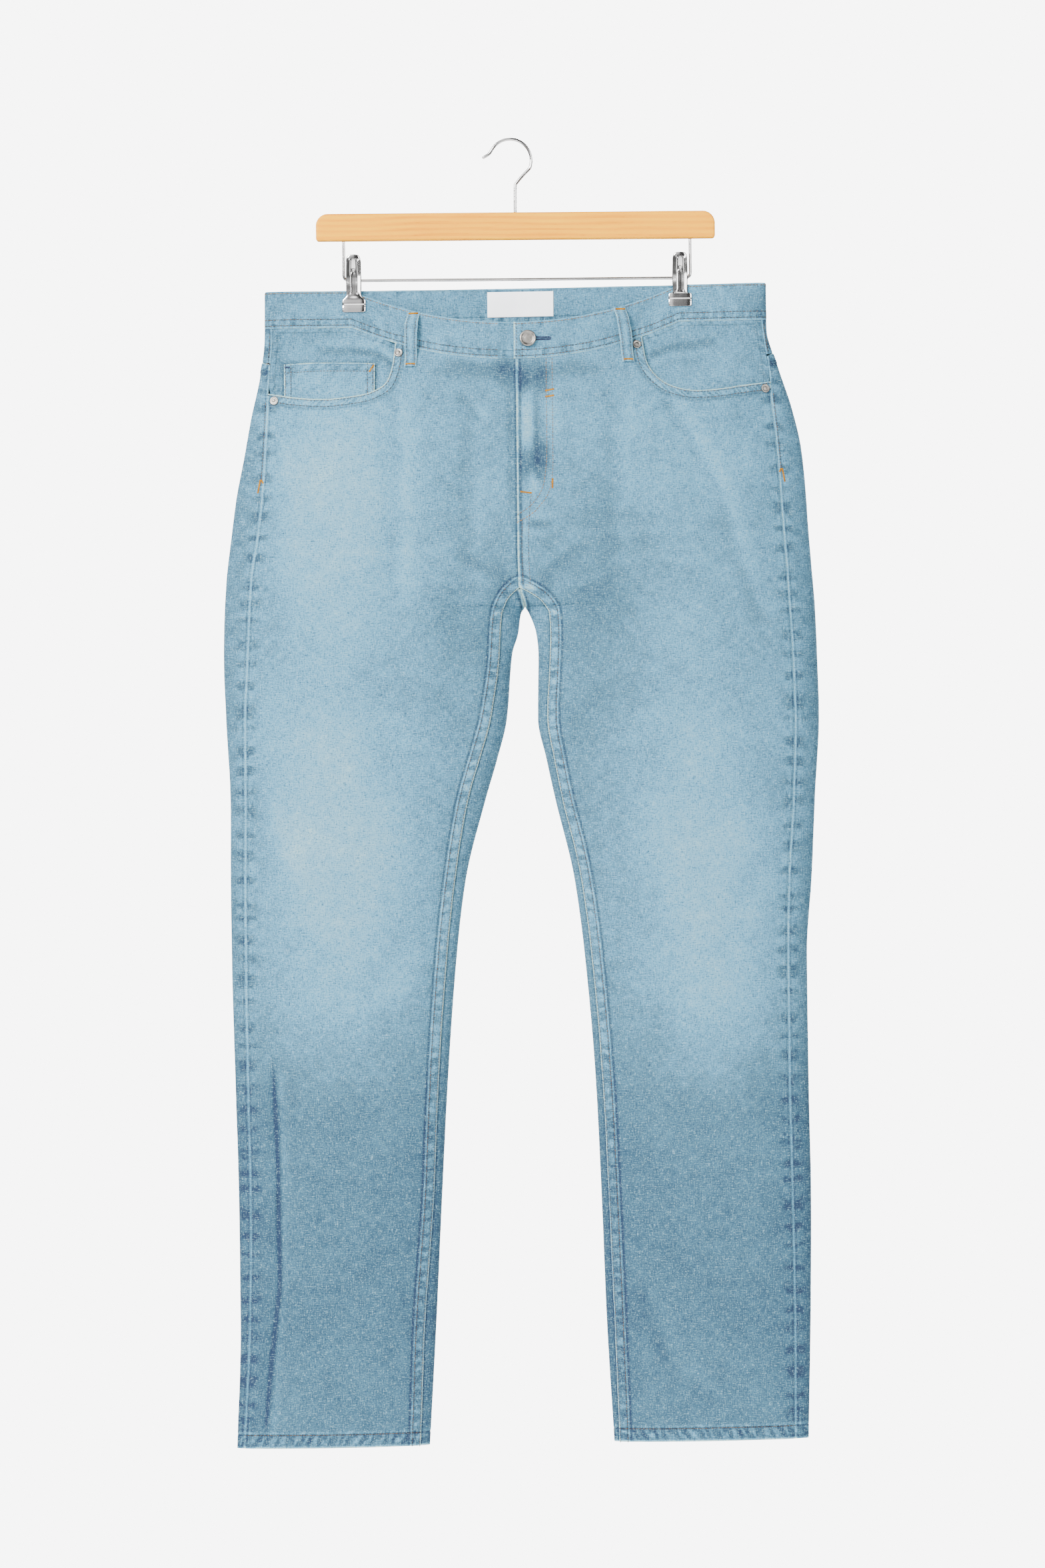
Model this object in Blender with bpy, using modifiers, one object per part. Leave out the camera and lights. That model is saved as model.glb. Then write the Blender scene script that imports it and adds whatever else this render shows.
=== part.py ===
"""Slim five-pocket jeans clipped to a wooden trouser hanger, seen as they hang.

Metres, +Z up, the front of the jeans faces -Y. The origin is where the hanger's hook rests on a rail.
Every cloth piece is cut from one surface, which the functions `place` and `moved_out` give: a point of
it is named by the wearer's side, the front or back face, how far across the half it lies, and its drop
below the top of the waist.
"""

import math

import bmesh
import bpy
from mathutils import Vector

# Driving sizes of the garment, in metres. A drop is measured down from the waist's top at the sides.
WAIST_Z = -0.147
WAIST_LEAN = 0.010
GARMENT_X = 0.004
WAISTBAND_HEIGHT = 0.037
WAIST_DIP = 0.036
CLIP_REACH = 0.163
FRONT_FORK = 0.300
CROTCH = 0.318
CROTCH_ROUND_START = 0.258
HEM = 1.152
HEM_FOLD = 0.014

# Cloth and the gaps between pieces.
DENIM = 0.0013
HEM_DENIM = 0.0021
WAISTBAND_WALL = 0.0024
SEAM_GAP = 0.0003
INSEAM_GAP = 0.0005
WAIST_GAP = 0.0005
WAISTBAND_PROUD = 0.0004

# Section lines of both legs, in millimetres: distances out from the centre line at each drop.
SIDE_COLUMNS = ("drop", "outer_right", "outseam_right", "outseam_left", "outer_left", "front", "back")
SIDE_LINES = (
    (0, 250, 244, 243, 250, 28, 24),
    (45, 250.5, 243, 246, 250.5, 30, 26),
    (85, 255.5, 246, 252, 262, 32, 30),
    (125, 264.5, 248, 255.5, 275, 35, 36),
    (165, 272, 250.5, 259.5, 284, 37, 43),
    (205, 280, 253.5, 262.5, 288, 38, 49),
    (245, 285.5, 258.5, 265, 290.5, 38, 51),
    (285, 290.5, 265, 268, 293.5, 37, 49),
    (325, 293, 267.5, 270.5, 296.5, 36, 45),
    (365, 294, 269.5, 273, 298, 34, 41),
    (430, 292, 272.5, 275, 299.5, 32, 37),
    (510, 288.5, 273, 273, 295, 29, 33),
    (590, 289, 274, 268, 291, 27, 30),
    (670, 288.5, 274, 266, 285.5, 25, 28),
    (790, 286, 273, 266.5, 286, 23, 25),
    (910, 283.5, 271.5, 268.5, 287.5, 21, 23),
    (1030, 283, 273.5, 270, 286, 19, 21),
    (1152, 287.5, 280, 269.5, 283, 17, 18),
)
INNER_COLUMNS = ("drop", "inseam_right", "inner_right", "inner_left", "inseam_left")
INNER_LINES = (
    (300, -2, -2, 2, 2),
    (306, 5, -4, 4, 13),
    (312, 10, -5.5, 5.5, 22),
    (318, 13, -7, 7, 27),
    (325, 15.5, -3, 11, 31),
    (345, 17.5, 0, 18, 32),
    (365, 18.5, 6, 20, 31.5),
    (430, 28, 12, 19, 28.5),
    (470, 39.5, 22, 27, 34.5),
    (510, 51, 34, 35.5, 42.5),
    (590, 65, 54.5, 54, 60.5),
    (670, 74, 64.5, 64, 70.5),
    (790, 83, 74, 73.5, 80),
    (910, 89, 81, 78.5, 85.5),
    (1030, 98.5, 87.5, 82.5, 90),
    (1152, 104, 95, 89, 94),
)
CENTRE_COLUMNS = ("drop", "centre")
CENTRE_LINE = ((0, 0), (260, 0), (300, 2), (312, 5.5), (318, 7))

# The edges of the front pockets' mouths, from the waistband down and round to the side seam, in millimetres.
SCOOPS = {
    "right": ((120, 50), (122, 70), (125, 84), (131, 95.5), (146, 103.5), (164, 107), (190, 109), (217, 107), (246, 102)),
    "left": ((126, 50), (128, 66), (131.5, 80), (141, 93), (155, 102), (176, 107), (202, 106), (222, 103), (252, 99)),
}

# Soft folds in the hanging cloth, in millimetres: the face, x and drop where the fold starts, x and drop
# where it ends, half its width, and its depth.
FOLDS = (
    ("front", -249, 750, -241, 930, 8, 2.6),
    ("front", -241, 900, -258, 1140, 8, 2.6),
    ("front", -123, 140, -135, 470, 17, 2.2),
    ("front", -58, 190, -62, 520, 17, 2.6),
    ("front", 148, 122, 190, 225, 16, 2.6),
    ("front", 183, 205, 226, 350, 17, 2.6),
    ("front", -28, 150, -62, 96, 9, 1.6),
    ("front", 40, 260, 128, 205, 15, 2.0),
    ("front", -30, 268, -118, 225, 15, 2.0),
    ("front", 118, 300, 60, 470, 18, 2.2),
    ("front", -152, 6, -106, 50, 9, 2.2),
    ("front", 154, 12, 118, 52, 9, 2.0),
    ("front", -205, 60, -128, 72, 9, 1.8),
    ("front", 205, 62, 140, 70, 10, 1.6),
    ("front", 120, 1010, 205, 1090, 16, 1.8),
    ("back", -40, 325, -190, 362, 17, 3.0),
    ("back", 40, 325, 185, 358, 17, 3.0),
    ("back", -60, 372, -215, 415, 17, 2.4),
    ("back", 70, 380, 222, 425, 17, 2.4),
    ("back", -235, 560, -110, 610, 18, 2.4),
    ("back", 105, 585, 225, 560, 18, 2.4),
    ("back", -150, 700, -165, 1040, 17, 2.2),
    ("back", 190, 690, 175, 1000, 17, 2.2),
)

SIDES = {"right": -1, "left": 1}
FACES = {"front": -1, "back": 1}


def collection(name):
    """A new collection in the scene."""
    made = bpy.data.collections.new(name)
    bpy.context.scene.collection.children.link(made)
    return made


def material(name, colour, roughness, metallic=0.0):
    """A Principled material of one finish."""
    made = bpy.data.materials.new(name)
    made.use_nodes = True
    shader = made.node_tree.nodes["Principled BSDF"]
    shader.inputs["Base Color"].default_value = (*colour, 1.0)
    shader.inputs["Roughness"].default_value = roughness
    shader.inputs["Metallic"].default_value = metallic
    return made


for old in list(bpy.data.objects):
    bpy.data.objects.remove(old, do_unlink=True)
PARTS = collection("jeans_on_hanger")
CUTTERS = collection("cutters")
DENIM_BLUE = material("washed_denim", (0.36, 0.52, 0.66), 0.9)
POCKET_BLUE = material("pocket_denim", (0.42, 0.58, 0.68), 0.9)
LABEL_WHITE = material("woven_label", (0.92, 0.92, 0.94), 0.8)
ZIP_TAPE = material("zip_tape", (0.20, 0.28, 0.38), 0.8)
STEEL = material("nickel", (0.72, 0.72, 0.70), 0.25, 1.0)
BEECH = material("beech", (0.86, 0.62, 0.36), 0.45)


def smooth_step(t):
    """0 below 0, 1 above 1, and an S between."""
    t = min(max(t, 0.0), 1.0)
    return t * t * (3 - 2 * t)


def slopes(xs, ys):
    """The slope at each row of a table, chosen so that the curve through it never overshoots."""
    steps = [(ys[i + 1] - ys[i]) / (xs[i + 1] - xs[i]) for i in range(len(xs) - 1)]
    found = [steps[0]]
    for before, after in zip(steps, steps[1:]):
        found.append(2 * before * after / (before + after) if before * after > 0 else 0.0)
    return found + [steps[-1]]


def curve_of(rows, columns, name):
    """One column of a table as a smooth function of the drop, all in metres."""
    xs = [row[0] / 1000 for row in rows]
    ys = [row[columns.index(name)] / 1000 for row in rows]
    ends = slopes(xs, ys)

    def value(drop):
        drop = min(max(drop, xs[0]), xs[-1])
        i = max(0, min(len(xs) - 2, sum(x <= drop for x in xs) - 1))
        width = xs[i + 1] - xs[i]
        t = (drop - xs[i]) / width
        return (
            ys[i] * (1 + 2 * t) * (1 - t) ** 2
            + ends[i] * width * t * (1 - t) ** 2
            + ys[i + 1] * t * t * (3 - 2 * t)
            + ends[i + 1] * width * t * t * (t - 1)
        )

    return value


LINES = {name: curve_of(SIDE_LINES, SIDE_COLUMNS, name) for name in SIDE_COLUMNS[1:]}
LINES.update({name: curve_of(INNER_LINES, INNER_COLUMNS, name) for name in INNER_COLUMNS[1:]})
LINES["centre"] = curve_of(CENTRE_LINE, CENTRE_COLUMNS, "centre")


def inner_x(side, drop):
    """Where a half ends towards the middle: the centre line, and the leg's inner fold below the crotch."""
    if drop <= CROTCH:
        return LINES["centre"](drop)
    return SIDES[side] * LINES["inner_" + side](drop)


def outer_x(side, drop):
    """The outer fold of a half."""
    return SIDES[side] * LINES["outer_" + side](drop)


def across(side, x, drop):
    """How far across its half an x lies, from 0 at the inner end to 1 at the outer fold."""
    inner = inner_x(side, drop)
    return (x - inner) / (outer_x(side, drop) - inner)


def outseam(side, drop):
    return across(side, SIDES[side] * LINES["outseam_" + side](drop), drop)


def inseam(side, drop):
    """The inseam's place on the front face. Above the fork there is none, and the centre seam takes over."""
    if drop <= FRONT_FORK:
        return 0.0
    return across(side, SIDES[side] * LINES["inseam_" + side](drop), drop)


def rounded(distance, reach):
    """How the cloth rounds away from a fold: 0 on it, 1 from `reach` on, along a quarter of an ellipse."""
    t = 1 - min(max(distance / reach, 0.0), 1.0)
    return math.sqrt(1 - t * t)


def fold_depth(face, x, drop):
    """How far the soft folds press the cloth in at a point."""
    total = 0.0
    for row in FOLDS:
        kind, x0, d0, x1, d1, half, depth = row
        if kind != face:
            continue
        ax, ad, bx, bd = x0 / 1000, d0 / 1000, x1 / 1000, d1 / 1000
        length2 = (bx - ax) ** 2 + (bd - ad) ** 2
        t = ((x - ax) * (bx - ax) + (drop - ad) * (bd - ad)) / length2
        along = smooth_step(min(t + 0.15, 1.15 - t) / 0.4)
        away = math.hypot(x - ax - t * (bx - ax), drop - ad - t * (bd - ad)) / (half / 1000)
        total += depth / 1000 * along * math.exp(-away * away)
    return total


PINCH = 0.0028
CLIP_FLAT = 0.0170
FRONT_BOW = 0.022
BACK_BOW = 0.004
SIDE_ROUND = 0.0072
SIDE_FOLD_REACH = 0.009
PINCH_END = 0.022
HIP_START = 0.125
HIP_REACH = 0.200


def waist_depth(face, side, x, drop):
    """The section at the waist: pressed flat under the clips, bowed open between them."""
    out, reach = abs(x), abs(outer_x(side, drop))
    bow = FRONT_BOW if face == "front" else BACK_BOW
    near, far = CLIP_REACH - CLIP_FLAT, CLIP_REACH + CLIP_FLAT
    if out <= far:
        return PINCH + bow * max(0.0, math.cos(math.pi / 2 * min(out / near, 1.0))) ** 1.4
    opened = smooth_step((out - far) / (reach - far) / 0.7)
    return (PINCH + (SIDE_ROUND - PINCH) * opened) * rounded(reach - out, SIDE_FOLD_REACH)


def body_depth(face, side, x, drop):
    """The section of the hips and legs: a lens with a fold at each end, which closes over the crotch."""
    inner, outer = inner_x(side, drop), outer_x(side, drop)
    half_width = abs(outer - inner) / 2
    reach = HIP_REACH + (half_width - HIP_REACH) * smooth_step((drop - 0.20) / (CROTCH - 0.20))
    outer_part = rounded(abs(outer - x), reach)
    inner_part = rounded(abs(x - inner), half_width)
    if drop < CROTCH:
        t = max(0.0, (drop - CROTCH_ROUND_START) / (CROTCH - CROTCH_ROUND_START))
        inner_part += (1 - inner_part) * math.sqrt(1 - t * t)
    return LINES[face](drop) * outer_part * inner_part


def place(side, face, q, drop):
    """The outer surface at a share q across a half and at a drop."""
    inner = inner_x(side, drop)
    x = inner + q * (outer_x(side, drop) - inner)
    settled = smooth_step((drop - PINCH_END) / (HIP_START - PINCH_END))
    waist = waist_depth(face, side, x, drop) if settled < 1 else 0.0
    depth = waist + (body_depth(face, side, x, drop) - waist) * settled
    edge = rounded(abs(outer_x(side, drop) - x), 0.04)
    if drop > CROTCH:
        edge *= rounded(abs(x - inner), 0.03)
    depth -= fold_depth(face, x, drop) * edge * min(1.0, depth / 0.006)
    return Vector((GARMENT_X + x, FACES[face] * depth, WAIST_Z + WAIST_LEAN * x - drop))


def normal(side, face, q, drop):
    """The surface's outward normal."""
    step_q = 0.004 if q < 0.5 else -0.004
    step_d = 0.001 if drop < 0.6 else -0.001
    here = place(side, face, q, drop)
    along_q = (place(side, face, q + step_q, drop) - here) / step_q * SIDES[side]
    along_d = (place(side, face, q, drop + step_d) - here) / step_d
    found = along_d.cross(along_q) if face == "front" else along_q.cross(along_d)
    return found.normalized()


def moved_out(side, face, q, drop, out):
    """A point that lies `out` in front of the surface, or behind it if `out` is negative."""
    point = place(side, face, q, drop)
    return point + normal(side, face, q, drop) * out if out else point


def spread(start, end, count):
    """`count` + 1 even values from start to end."""
    return [start + (end - start) * i / count for i in range(count + 1)]


def towards_fold(start, count):
    """Shares from `start` to the outer fold at 1, closer together where the cloth turns."""
    return [1 - (1 - start) * (1 - math.sin(math.pi / 2 * i / count)) for i in range(count + 1)]


def grid_rows(bm, rows):
    """Adds a grid whose points are given row by row, in order, and returns its vertices."""
    count = (len(rows[0]) - 1, len(rows) - 1)
    made = bmesh.ops.create_grid(bm, x_segments=count[0], y_segments=count[1], size=1.0)["verts"]
    made.sort(key=lambda v: (round(v.co.y, 5), round(v.co.x, 5)))
    for vertex, point in zip(made, (p for row in rows for p in row)):
        vertex.co = point
    return made


def cloth(name, grids, wall, mat, outward, thick_test=None, thick=None, outer_wall=False, closed_round=False):
    """A cloth piece: open grids welded where they meet and faced outward, with the wall built inward from
    them, or outward where the grids are its underside."""
    bm = bmesh.new()
    for rows in grids:
        grid_rows(bm, rows)
    bmesh.ops.remove_doubles(bm, verts=bm.verts, dist=0.00002)
    bmesh.ops.recalc_face_normals(bm, faces=bm.faces)
    bm.faces.ensure_lookup_table()
    out = Vector(outward)
    faces = [f for f in bm.faces if not closed_round or f.calc_center_median().dot(out) > 0]
    if sum(f.normal.dot(out) * f.calc_area() for f in faces) < 0:
        bmesh.ops.reverse_faces(bm, faces=bm.faces)
    mesh = bpy.data.meshes.new(name)
    bm.to_mesh(mesh)
    bm.free()
    mesh.shade_smooth()
    piece = bpy.data.objects.new(name, mesh)
    PARTS.objects.link(piece)
    mesh.materials.append(mat)
    solid = piece.modifiers.new("wall", "SOLIDIFY")
    solid.thickness = thick or wall
    solid.offset = 1 if outer_wall else -1
    if thick_test:
        group = piece.vertex_groups.new(name="wall")
        for vertex in mesh.vertices:
            weight = 1.0 if thick_test(vertex.co) else wall / thick
            group.add([vertex.index], weight, "REPLACE")
        solid.vertex_group = "wall"
    return piece


def waist_top(face, x):
    """The drop of the waistband's top edge: the front sags between the clips, the back hangs level."""
    if face == "back" or abs(x) > CLIP_REACH:
        return 0.0
    return WAIST_DIP * (1 - (x / CLIP_REACH) ** 2)


def waist_seam(face, x):
    """The drop of the seam under the waistband."""
    return waist_top(face, x) + WAISTBAND_HEIGHT


def gap_share(side, drop, gap=SEAM_GAP):
    """Half a seam's gap as a share across the half."""
    return gap / 2 / abs(outer_x(side, drop) - inner_x(side, drop))


# Rows of the long panels, as drops: close together round the crotch, wide apart down the legs.
REGULAR_FROM = 0.172
HIP_ROWS = (REGULAR_FROM, 0.198, 0.224, 0.250, 0.270, 0.286, FRONT_FORK)
CROTCH_ROWS = (0.306, 0.312, 0.3162, CROTCH)
LEG_ROWS = (0.326, 0.340, 0.360, 0.390, 0.425) + tuple(spread(0.475, HEM - HEM_FOLD - 0.003, 12))
HEM_ROWS = (HEM - HEM_FOLD, HEM)
POCKET_ROWS = 6


def scoop_points(side):
    """The pocket mouth as (distance out, drop), with its first point put on the waist seam."""
    points = [Vector((x / 1000, d / 1000)) for x, d in SCOOPS[side]]
    points[0].y = waist_seam("front", points[0].x)
    return points


def along_line(points, count):
    """`count` + 1 points spaced evenly along a line of points."""
    lengths = [0.0]
    for a, b in zip(points, points[1:]):
        lengths.append(lengths[-1] + (b - a).length)
    found = []
    for want in spread(0.0, lengths[-1], count):
        i = min(sum(length <= want for length in lengths), len(points) - 1)
        t = (want - lengths[i - 1]) / (lengths[i] - lengths[i - 1])
        found.append(points[i - 1].lerp(points[i], t))
    return found


FRONT_POCKET_COLUMNS = 8
# Distances out from the centre, shared by the front of the waistband and the fronts sewn to it.
WAIST_COLUMNS = spread(0.0, CLIP_REACH - CLIP_FLAT, 7)


def front_top(side):
    """The top edge of a front panel as (share, drop): along the waistband, then round the pocket's mouth."""
    mouth = scoop_points(side)
    edge = [(0.0, waist_seam("front", 0.0) + WAIST_GAP)]
    for x in [x for x in WAIST_COLUMNS[1:] if x < mouth[0].x - 0.005] + [mouth[0].x]:
        drop = waist_seam("front", x) + WAIST_GAP
        edge.append((across(side, SIDES[side] * x, drop), drop))
    for point in along_line(mouth, FRONT_POCKET_COLUMNS)[1:]:
        edge.append((across(side, SIDES[side] * point.x, point.y), point.y))
    edge[-1] = (1.0, edge[-1][1])
    return edge


def front_share(side, c, drop):
    """A share between the two seams of a front panel, c from 0 at the centre or inseam to 1 at the outseam."""
    inner_gap = gap_share(side, drop, SEAM_GAP if drop < REGULAR_FROM else INSEAM_GAP)
    low, high = inseam(side, drop) + inner_gap, outseam(side, drop) - gap_share(side, drop)
    return low + c * (high - low)


def closer_at_ends(c):
    """An even share moved so that columns lie closer together at a panel's seams."""
    return 0.2 * c + 0.8 * (1 - math.cos(math.pi * c)) / 2


def front_panel(side):
    """One front: its top follows the waistband and the pocket's mouth, then its rows run level to the hem."""
    top = front_top(side)
    count = len(top) - 1
    rows = []
    for r in range(POCKET_ROWS):
        t = r / POCKET_ROWS
        row = []
        for i, (q, drop) in enumerate(top):
            high = outseam(side, drop)
            c = min(q / high, 1.0) if i < count else 1.0
            c += (closer_at_ends(i / count) - c) * t
            drop += (REGULAR_FROM - drop) * t
            row.append(place(side, "front", front_share(side, c, drop), drop))
        rows.append(row)
    for drop in HIP_ROWS + CROTCH_ROWS + LEG_ROWS + HEM_ROWS:
        shares = [front_share(side, closer_at_ends(c), drop) for c in spread(0.0, 1.0, count)]
        rows.append([place(side, "front", q, drop) for q in shares])
    hem_z = WAIST_Z - (HEM - HEM_FOLD) - 0.0005
    cloth(
        "front_" + side, [rows], DENIM, DENIM_BLUE, (0, -1, 0),
        thick_test=lambda point: point.z < hem_z, thick=HEM_DENIM,
    )


BACK_COLUMNS = 9
STRIP_COLUMNS = 3
FOLD_COLUMNS_COUNT = 3
BACK_LEVEL_FROM = 0.150
YOKE_AT_CENTRE = 0.112
YOKE_AT_SIDE = 0.070


def yoke_seam(q):
    """The drop of the yoke's seam, which rises from the centre back to the side."""
    return YOKE_AT_CENTRE + (YOKE_AT_SIDE - YOKE_AT_CENTRE) * q


def back_stations(side, drop, with_front_strip=True):
    """(face, share) from the outseam on the front, round the outer fold and across the back."""
    gap = gap_share(side, drop)
    seam = outseam(side, drop) + gap
    stations = [("front", q) for q in towards_fold(seam, FOLD_COLUMNS_COUNT)]
    if not with_front_strip:
        stations = [stations[-1]]
    near_fold = [1 - 0.14 * (1 - math.cos(math.pi / 2 * i / 3)) for i in (1, 2, 3)]
    stations += [("back", q) for q in near_fold]
    last = gap if drop < CROTCH else 0.0
    stations += [("back", q) for q in spread(near_fold[-1], last, BACK_COLUMNS)[1:]]
    return stations


def surface(side, stations, out=0.0):
    """The points of rows of (face, share, drop), moved out from the surface."""
    return [[moved_out(side, face, q, drop, out) for face, q, drop in row] for row in stations]


def back_grid(side):
    """The rows of a back panel: its top follows the yoke's seam, then the rows turn level down to the hem."""
    rows = []
    for t in (0.0, 0.33, 0.66):
        row = []
        for i, (face, q) in enumerate(back_stations(side, BACK_LEVEL_FROM)):
            top = yoke_seam(q) + SEAM_GAP / 2
            drop = top + (BACK_LEVEL_FROM - top) * t
            row.append((*back_stations(side, drop)[i], drop))
        rows.append(row)
    for drop in (BACK_LEVEL_FROM,) + HIP_ROWS + CROTCH_ROWS + LEG_ROWS + HEM_ROWS:
        rows.append([(face, q, drop) for face, q in back_stations(side, drop)])
    return rows


def back_panel(side):
    """One back: from the yoke to the hem, wrapped round the outer fold to the outseam, and under the crotch
    and round the inner fold to the inseam."""
    strip = []
    for drop in CROTCH_ROWS + LEG_ROWS + HEM_ROWS:
        gap = gap_share(side, drop, INSEAM_GAP)
        start = gap if drop < CROTCH else 0.0
        end = inseam(side, drop) - gap
        shares = [start + (end - start) * (1 - math.cos(math.pi / 2 * i / STRIP_COLUMNS)) for i in range(STRIP_COLUMNS + 1)]
        strip.append([("front", q, drop) for q in shares])
    hem_z = WAIST_Z - (HEM - HEM_FOLD) - 0.0005
    cloth(
        "back_" + side, [surface(side, back_grid(side)), surface(side, strip)], DENIM, DENIM_BLUE, (0, 1, 0),
        thick_test=lambda point: point.z < hem_z, thick=HEM_DENIM,
    )


def yoke(side):
    """The yoke between the waistband and the back, which wraps to the outseam as the back does."""
    rows = []
    for t in spread(0.0, 1.0, 5):
        row = []
        for i, (face, q) in enumerate(back_stations(side, 0.06)):
            low = waist_seam(face, outer_x(side, 0.04)) + SEAM_GAP
            high = yoke_seam(q) - SEAM_GAP / 2
            d = low + (high - low) * t
            face, q = back_stations(side, d)[i]
            row.append(place(side, face, q, d))
        rows.append(row)
    cloth("yoke_" + side, [rows], DENIM, DENIM_BLUE, (0, 1, 0))


WAISTBAND_OVERLAP = 0.002
# Distances from the centre line as the band passes under its own end: the last on the surface, the first
# behind it, halfway, and where it ends on the wearer's left.
DIPS_FROM = 0.016
DIPPED_AT = 0.006
WAISTBAND_UNDERLAP = (-0.010, -0.027)
UNDERLAP_DEPTH = WAISTBAND_WALL + SEAM_GAP + 0.0002
BAND_SHARE_AT = 0.02


def waistband():
    """One doubled strip round the waist. Its end on the wearer's left laps over its end on the right."""
    near, far = CLIP_REACH - CLIP_FLAT, CLIP_REACH + CLIP_FLAT
    side_end = outer_x("left", BAND_SHARE_AT)
    fold = [side_end - SIDE_FOLD_REACH * d for d in (1.0, 0.45, 0.12, 0.0)]
    front_half = WAIST_COLUMNS + [CLIP_REACH] + spread(far, fold[0], 4) + fold[1:]
    back_half = fold[::-1][1:] + spread(fold[0], far, 3)[1:] + spread(near, 0.0, 4)
    stations = [("left", "front", -WAISTBAND_OVERLAP, 0.0)]
    stations += [("left", "front", x, 0.0) for x in front_half]
    stations += [("left", "back", x, 0.0) for x in back_half]
    stations += [("right", "back", x, 0.0) for x in back_half[-2::-1]]
    stations += [("right", "front", x, 0.0) for x in front_half[::-1][:-1]]
    stations = [s for s in stations if not (s[0] == "right" and s[1] == "front" and s[2] < DIPS_FROM + 0.002)]
    stations += [("right", "front", DIPS_FROM, 0.0), ("right", "front", DIPPED_AT, UNDERLAP_DEPTH)]
    stations += [("right", "front", x, UNDERLAP_DEPTH) for x in WAISTBAND_UNDERLAP]
    rows = []
    for share in (0.0, 0.5, 1.0):
        row = []
        for side, face, x, sunk in stations:
            out = SIDES[side] * x
            drop = waist_top(face, x) + share * WAISTBAND_HEIGHT
            q = out / outer_x(side, BAND_SHARE_AT)
            row.append(moved_out(side, face, q, drop, WAISTBAND_PROUD - sunk))
        rows.append(row)
    cloth("waistband", [rows], WAISTBAND_WALL, DENIM_BLUE, (0, -1, 0), closed_round=True)


CUTTER_REACH = 0.1


def prism(name, outline):
    """A cutter: an outline of (x, z) points carried right through the garment from front to back."""
    bm = bmesh.new()
    bmesh.ops.create_circle(bm, cap_ends=True, radius=1.0, segments=len(outline))
    bm.verts.ensure_lookup_table()
    for vertex, (x, z) in zip(bm.verts, outline):
        vertex.co = (x, -CUTTER_REACH, z)
    far = bmesh.ops.extrude_face_region(bm, geom=bm.faces[:])["geom"]
    carried = [v for v in far if isinstance(v, bmesh.types.BMVert)]
    bmesh.ops.translate(bm, verts=carried, vec=(0, 2 * CUTTER_REACH, 0))
    bmesh.ops.recalc_face_normals(bm, faces=bm.faces)
    mesh = bpy.data.meshes.new(name)
    bm.to_mesh(mesh)
    bm.free()
    cutter = bpy.data.objects.new(name, mesh)
    CUTTERS.objects.link(cutter)
    cutter.hide_render = True
    cutter.display_type = "WIRE"
    return cutter


def trimmed(piece, outline):
    """Keeps of a piece only what lies inside an outline of (x from the centre line, drop) points."""
    points = [(GARMENT_X + x, WAIST_Z + WAIST_LEAN * x - drop) for x, drop in outline]
    trim = piece.modifiers.new("trim", "BOOLEAN")
    trim.operation = "INTERSECT"
    trim.object = prism(piece.name + "_outline", points)


def patch(name, side, face, lines, out, wall, mat, columns=6):
    """A piece laid on the surface: rows of (drop, near x, far x), its outer side `out` from the surface."""
    rows = []
    for drop, near, far in lines:
        xs = spread(near, far, columns)
        rows.append([moved_out(side, face, across(side, SIDES[side] * x, drop), drop, out) for x in xs])
    cloth(name, [rows], wall, mat, (0, FACES[face], 0))


FACING_BOTTOM = 0.150
FACING_NEAR = 0.104
FACING_WIDTH = 0.14
POCKET_GAP = 0.0007
UNDER_FRONT = DENIM + POCKET_GAP
COIN_POCKET_WALL = 0.0012
COIN_POCKET = {"top": 0.0725, "bottom": 0.128, "near": 0.1405, "far": 0.2315}


def facing_grid(side):
    """Rows over the place of a front pocket's mouth, from the waist seam down and out to the side seam."""
    rows = []
    for t in spread(0.0, 1.0, 6):
        row = []
        for c in spread(0.0, 1.0, 8):
            top = waist_seam("front", FACING_NEAR + FACING_WIDTH * c) + SEAM_GAP
            drop = top + (FACING_BOTTOM - top) * t
            far = LINES["outseam_" + side](drop) - SEAM_GAP / 2
            x = FACING_NEAR + c * (far - FACING_NEAR)
            row.append(("front", across(side, SIDES[side] * x, drop), drop))
        rows.append(row)
    return rows


def pocket_facing(side):
    """The denim behind a front pocket's mouth, which closes it and is sewn in at the waist and the side."""
    under = UNDER_FRONT + 3 * SEAM_GAP
    if side == "right":
        under += COIN_POCKET_WALL
    cloth("pocket_facing_" + side, [surface(side, facing_grid(side), -under)], DENIM, POCKET_BLUE, (0, -1, 0))


def coin_pocket():
    """The small pocket on the facing of the wearer's right, which drops behind the front below the mouth."""
    size = COIN_POCKET
    rows = surface("right", facing_grid("right"), -UNDER_FRONT - COIN_POCKET_WALL)
    piece = cloth("coin_pocket", [rows], COIN_POCKET_WALL, POCKET_BLUE, (0, -1, 0), outer_wall=True)
    corners = [(size["near"], size["top"]), (size["far"], size["top"]), (size["far"], size["bottom"])]
    corners.append((size["near"], size["bottom"]))
    trimmed(piece, [(SIDES["right"] * x, drop) for x, drop in corners])


# The corners of a back pocket as (distance out, drop).
BACK_POCKET = ((0.048, 0.140), (0.204, 0.133), (0.196, 0.268), (0.126, 0.300), (0.057, 0.276))
BACK_POCKET_ROWS = 10


def back_pocket(side):
    """A patch pocket on the back, with a shallow point at its foot."""
    rows = [row[FOLD_COLUMNS_COUNT + 1:] for row in back_grid(side)[:BACK_POCKET_ROWS]]
    rows = surface(side, rows, SEAM_GAP)
    piece = cloth("back_pocket_" + side, [rows], DENIM, DENIM_BLUE, (0, 1, 0), outer_wall=True)
    trimmed(piece, [(SIDES[side] * x, drop) for x, drop in BACK_POCKET])


LOOP_WIDTH = 0.0124
LOOP_WALL = 0.0013
LOOP_STANDS_OFF = 0.0052
LOOP_BELOW_BAND = 0.019
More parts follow.
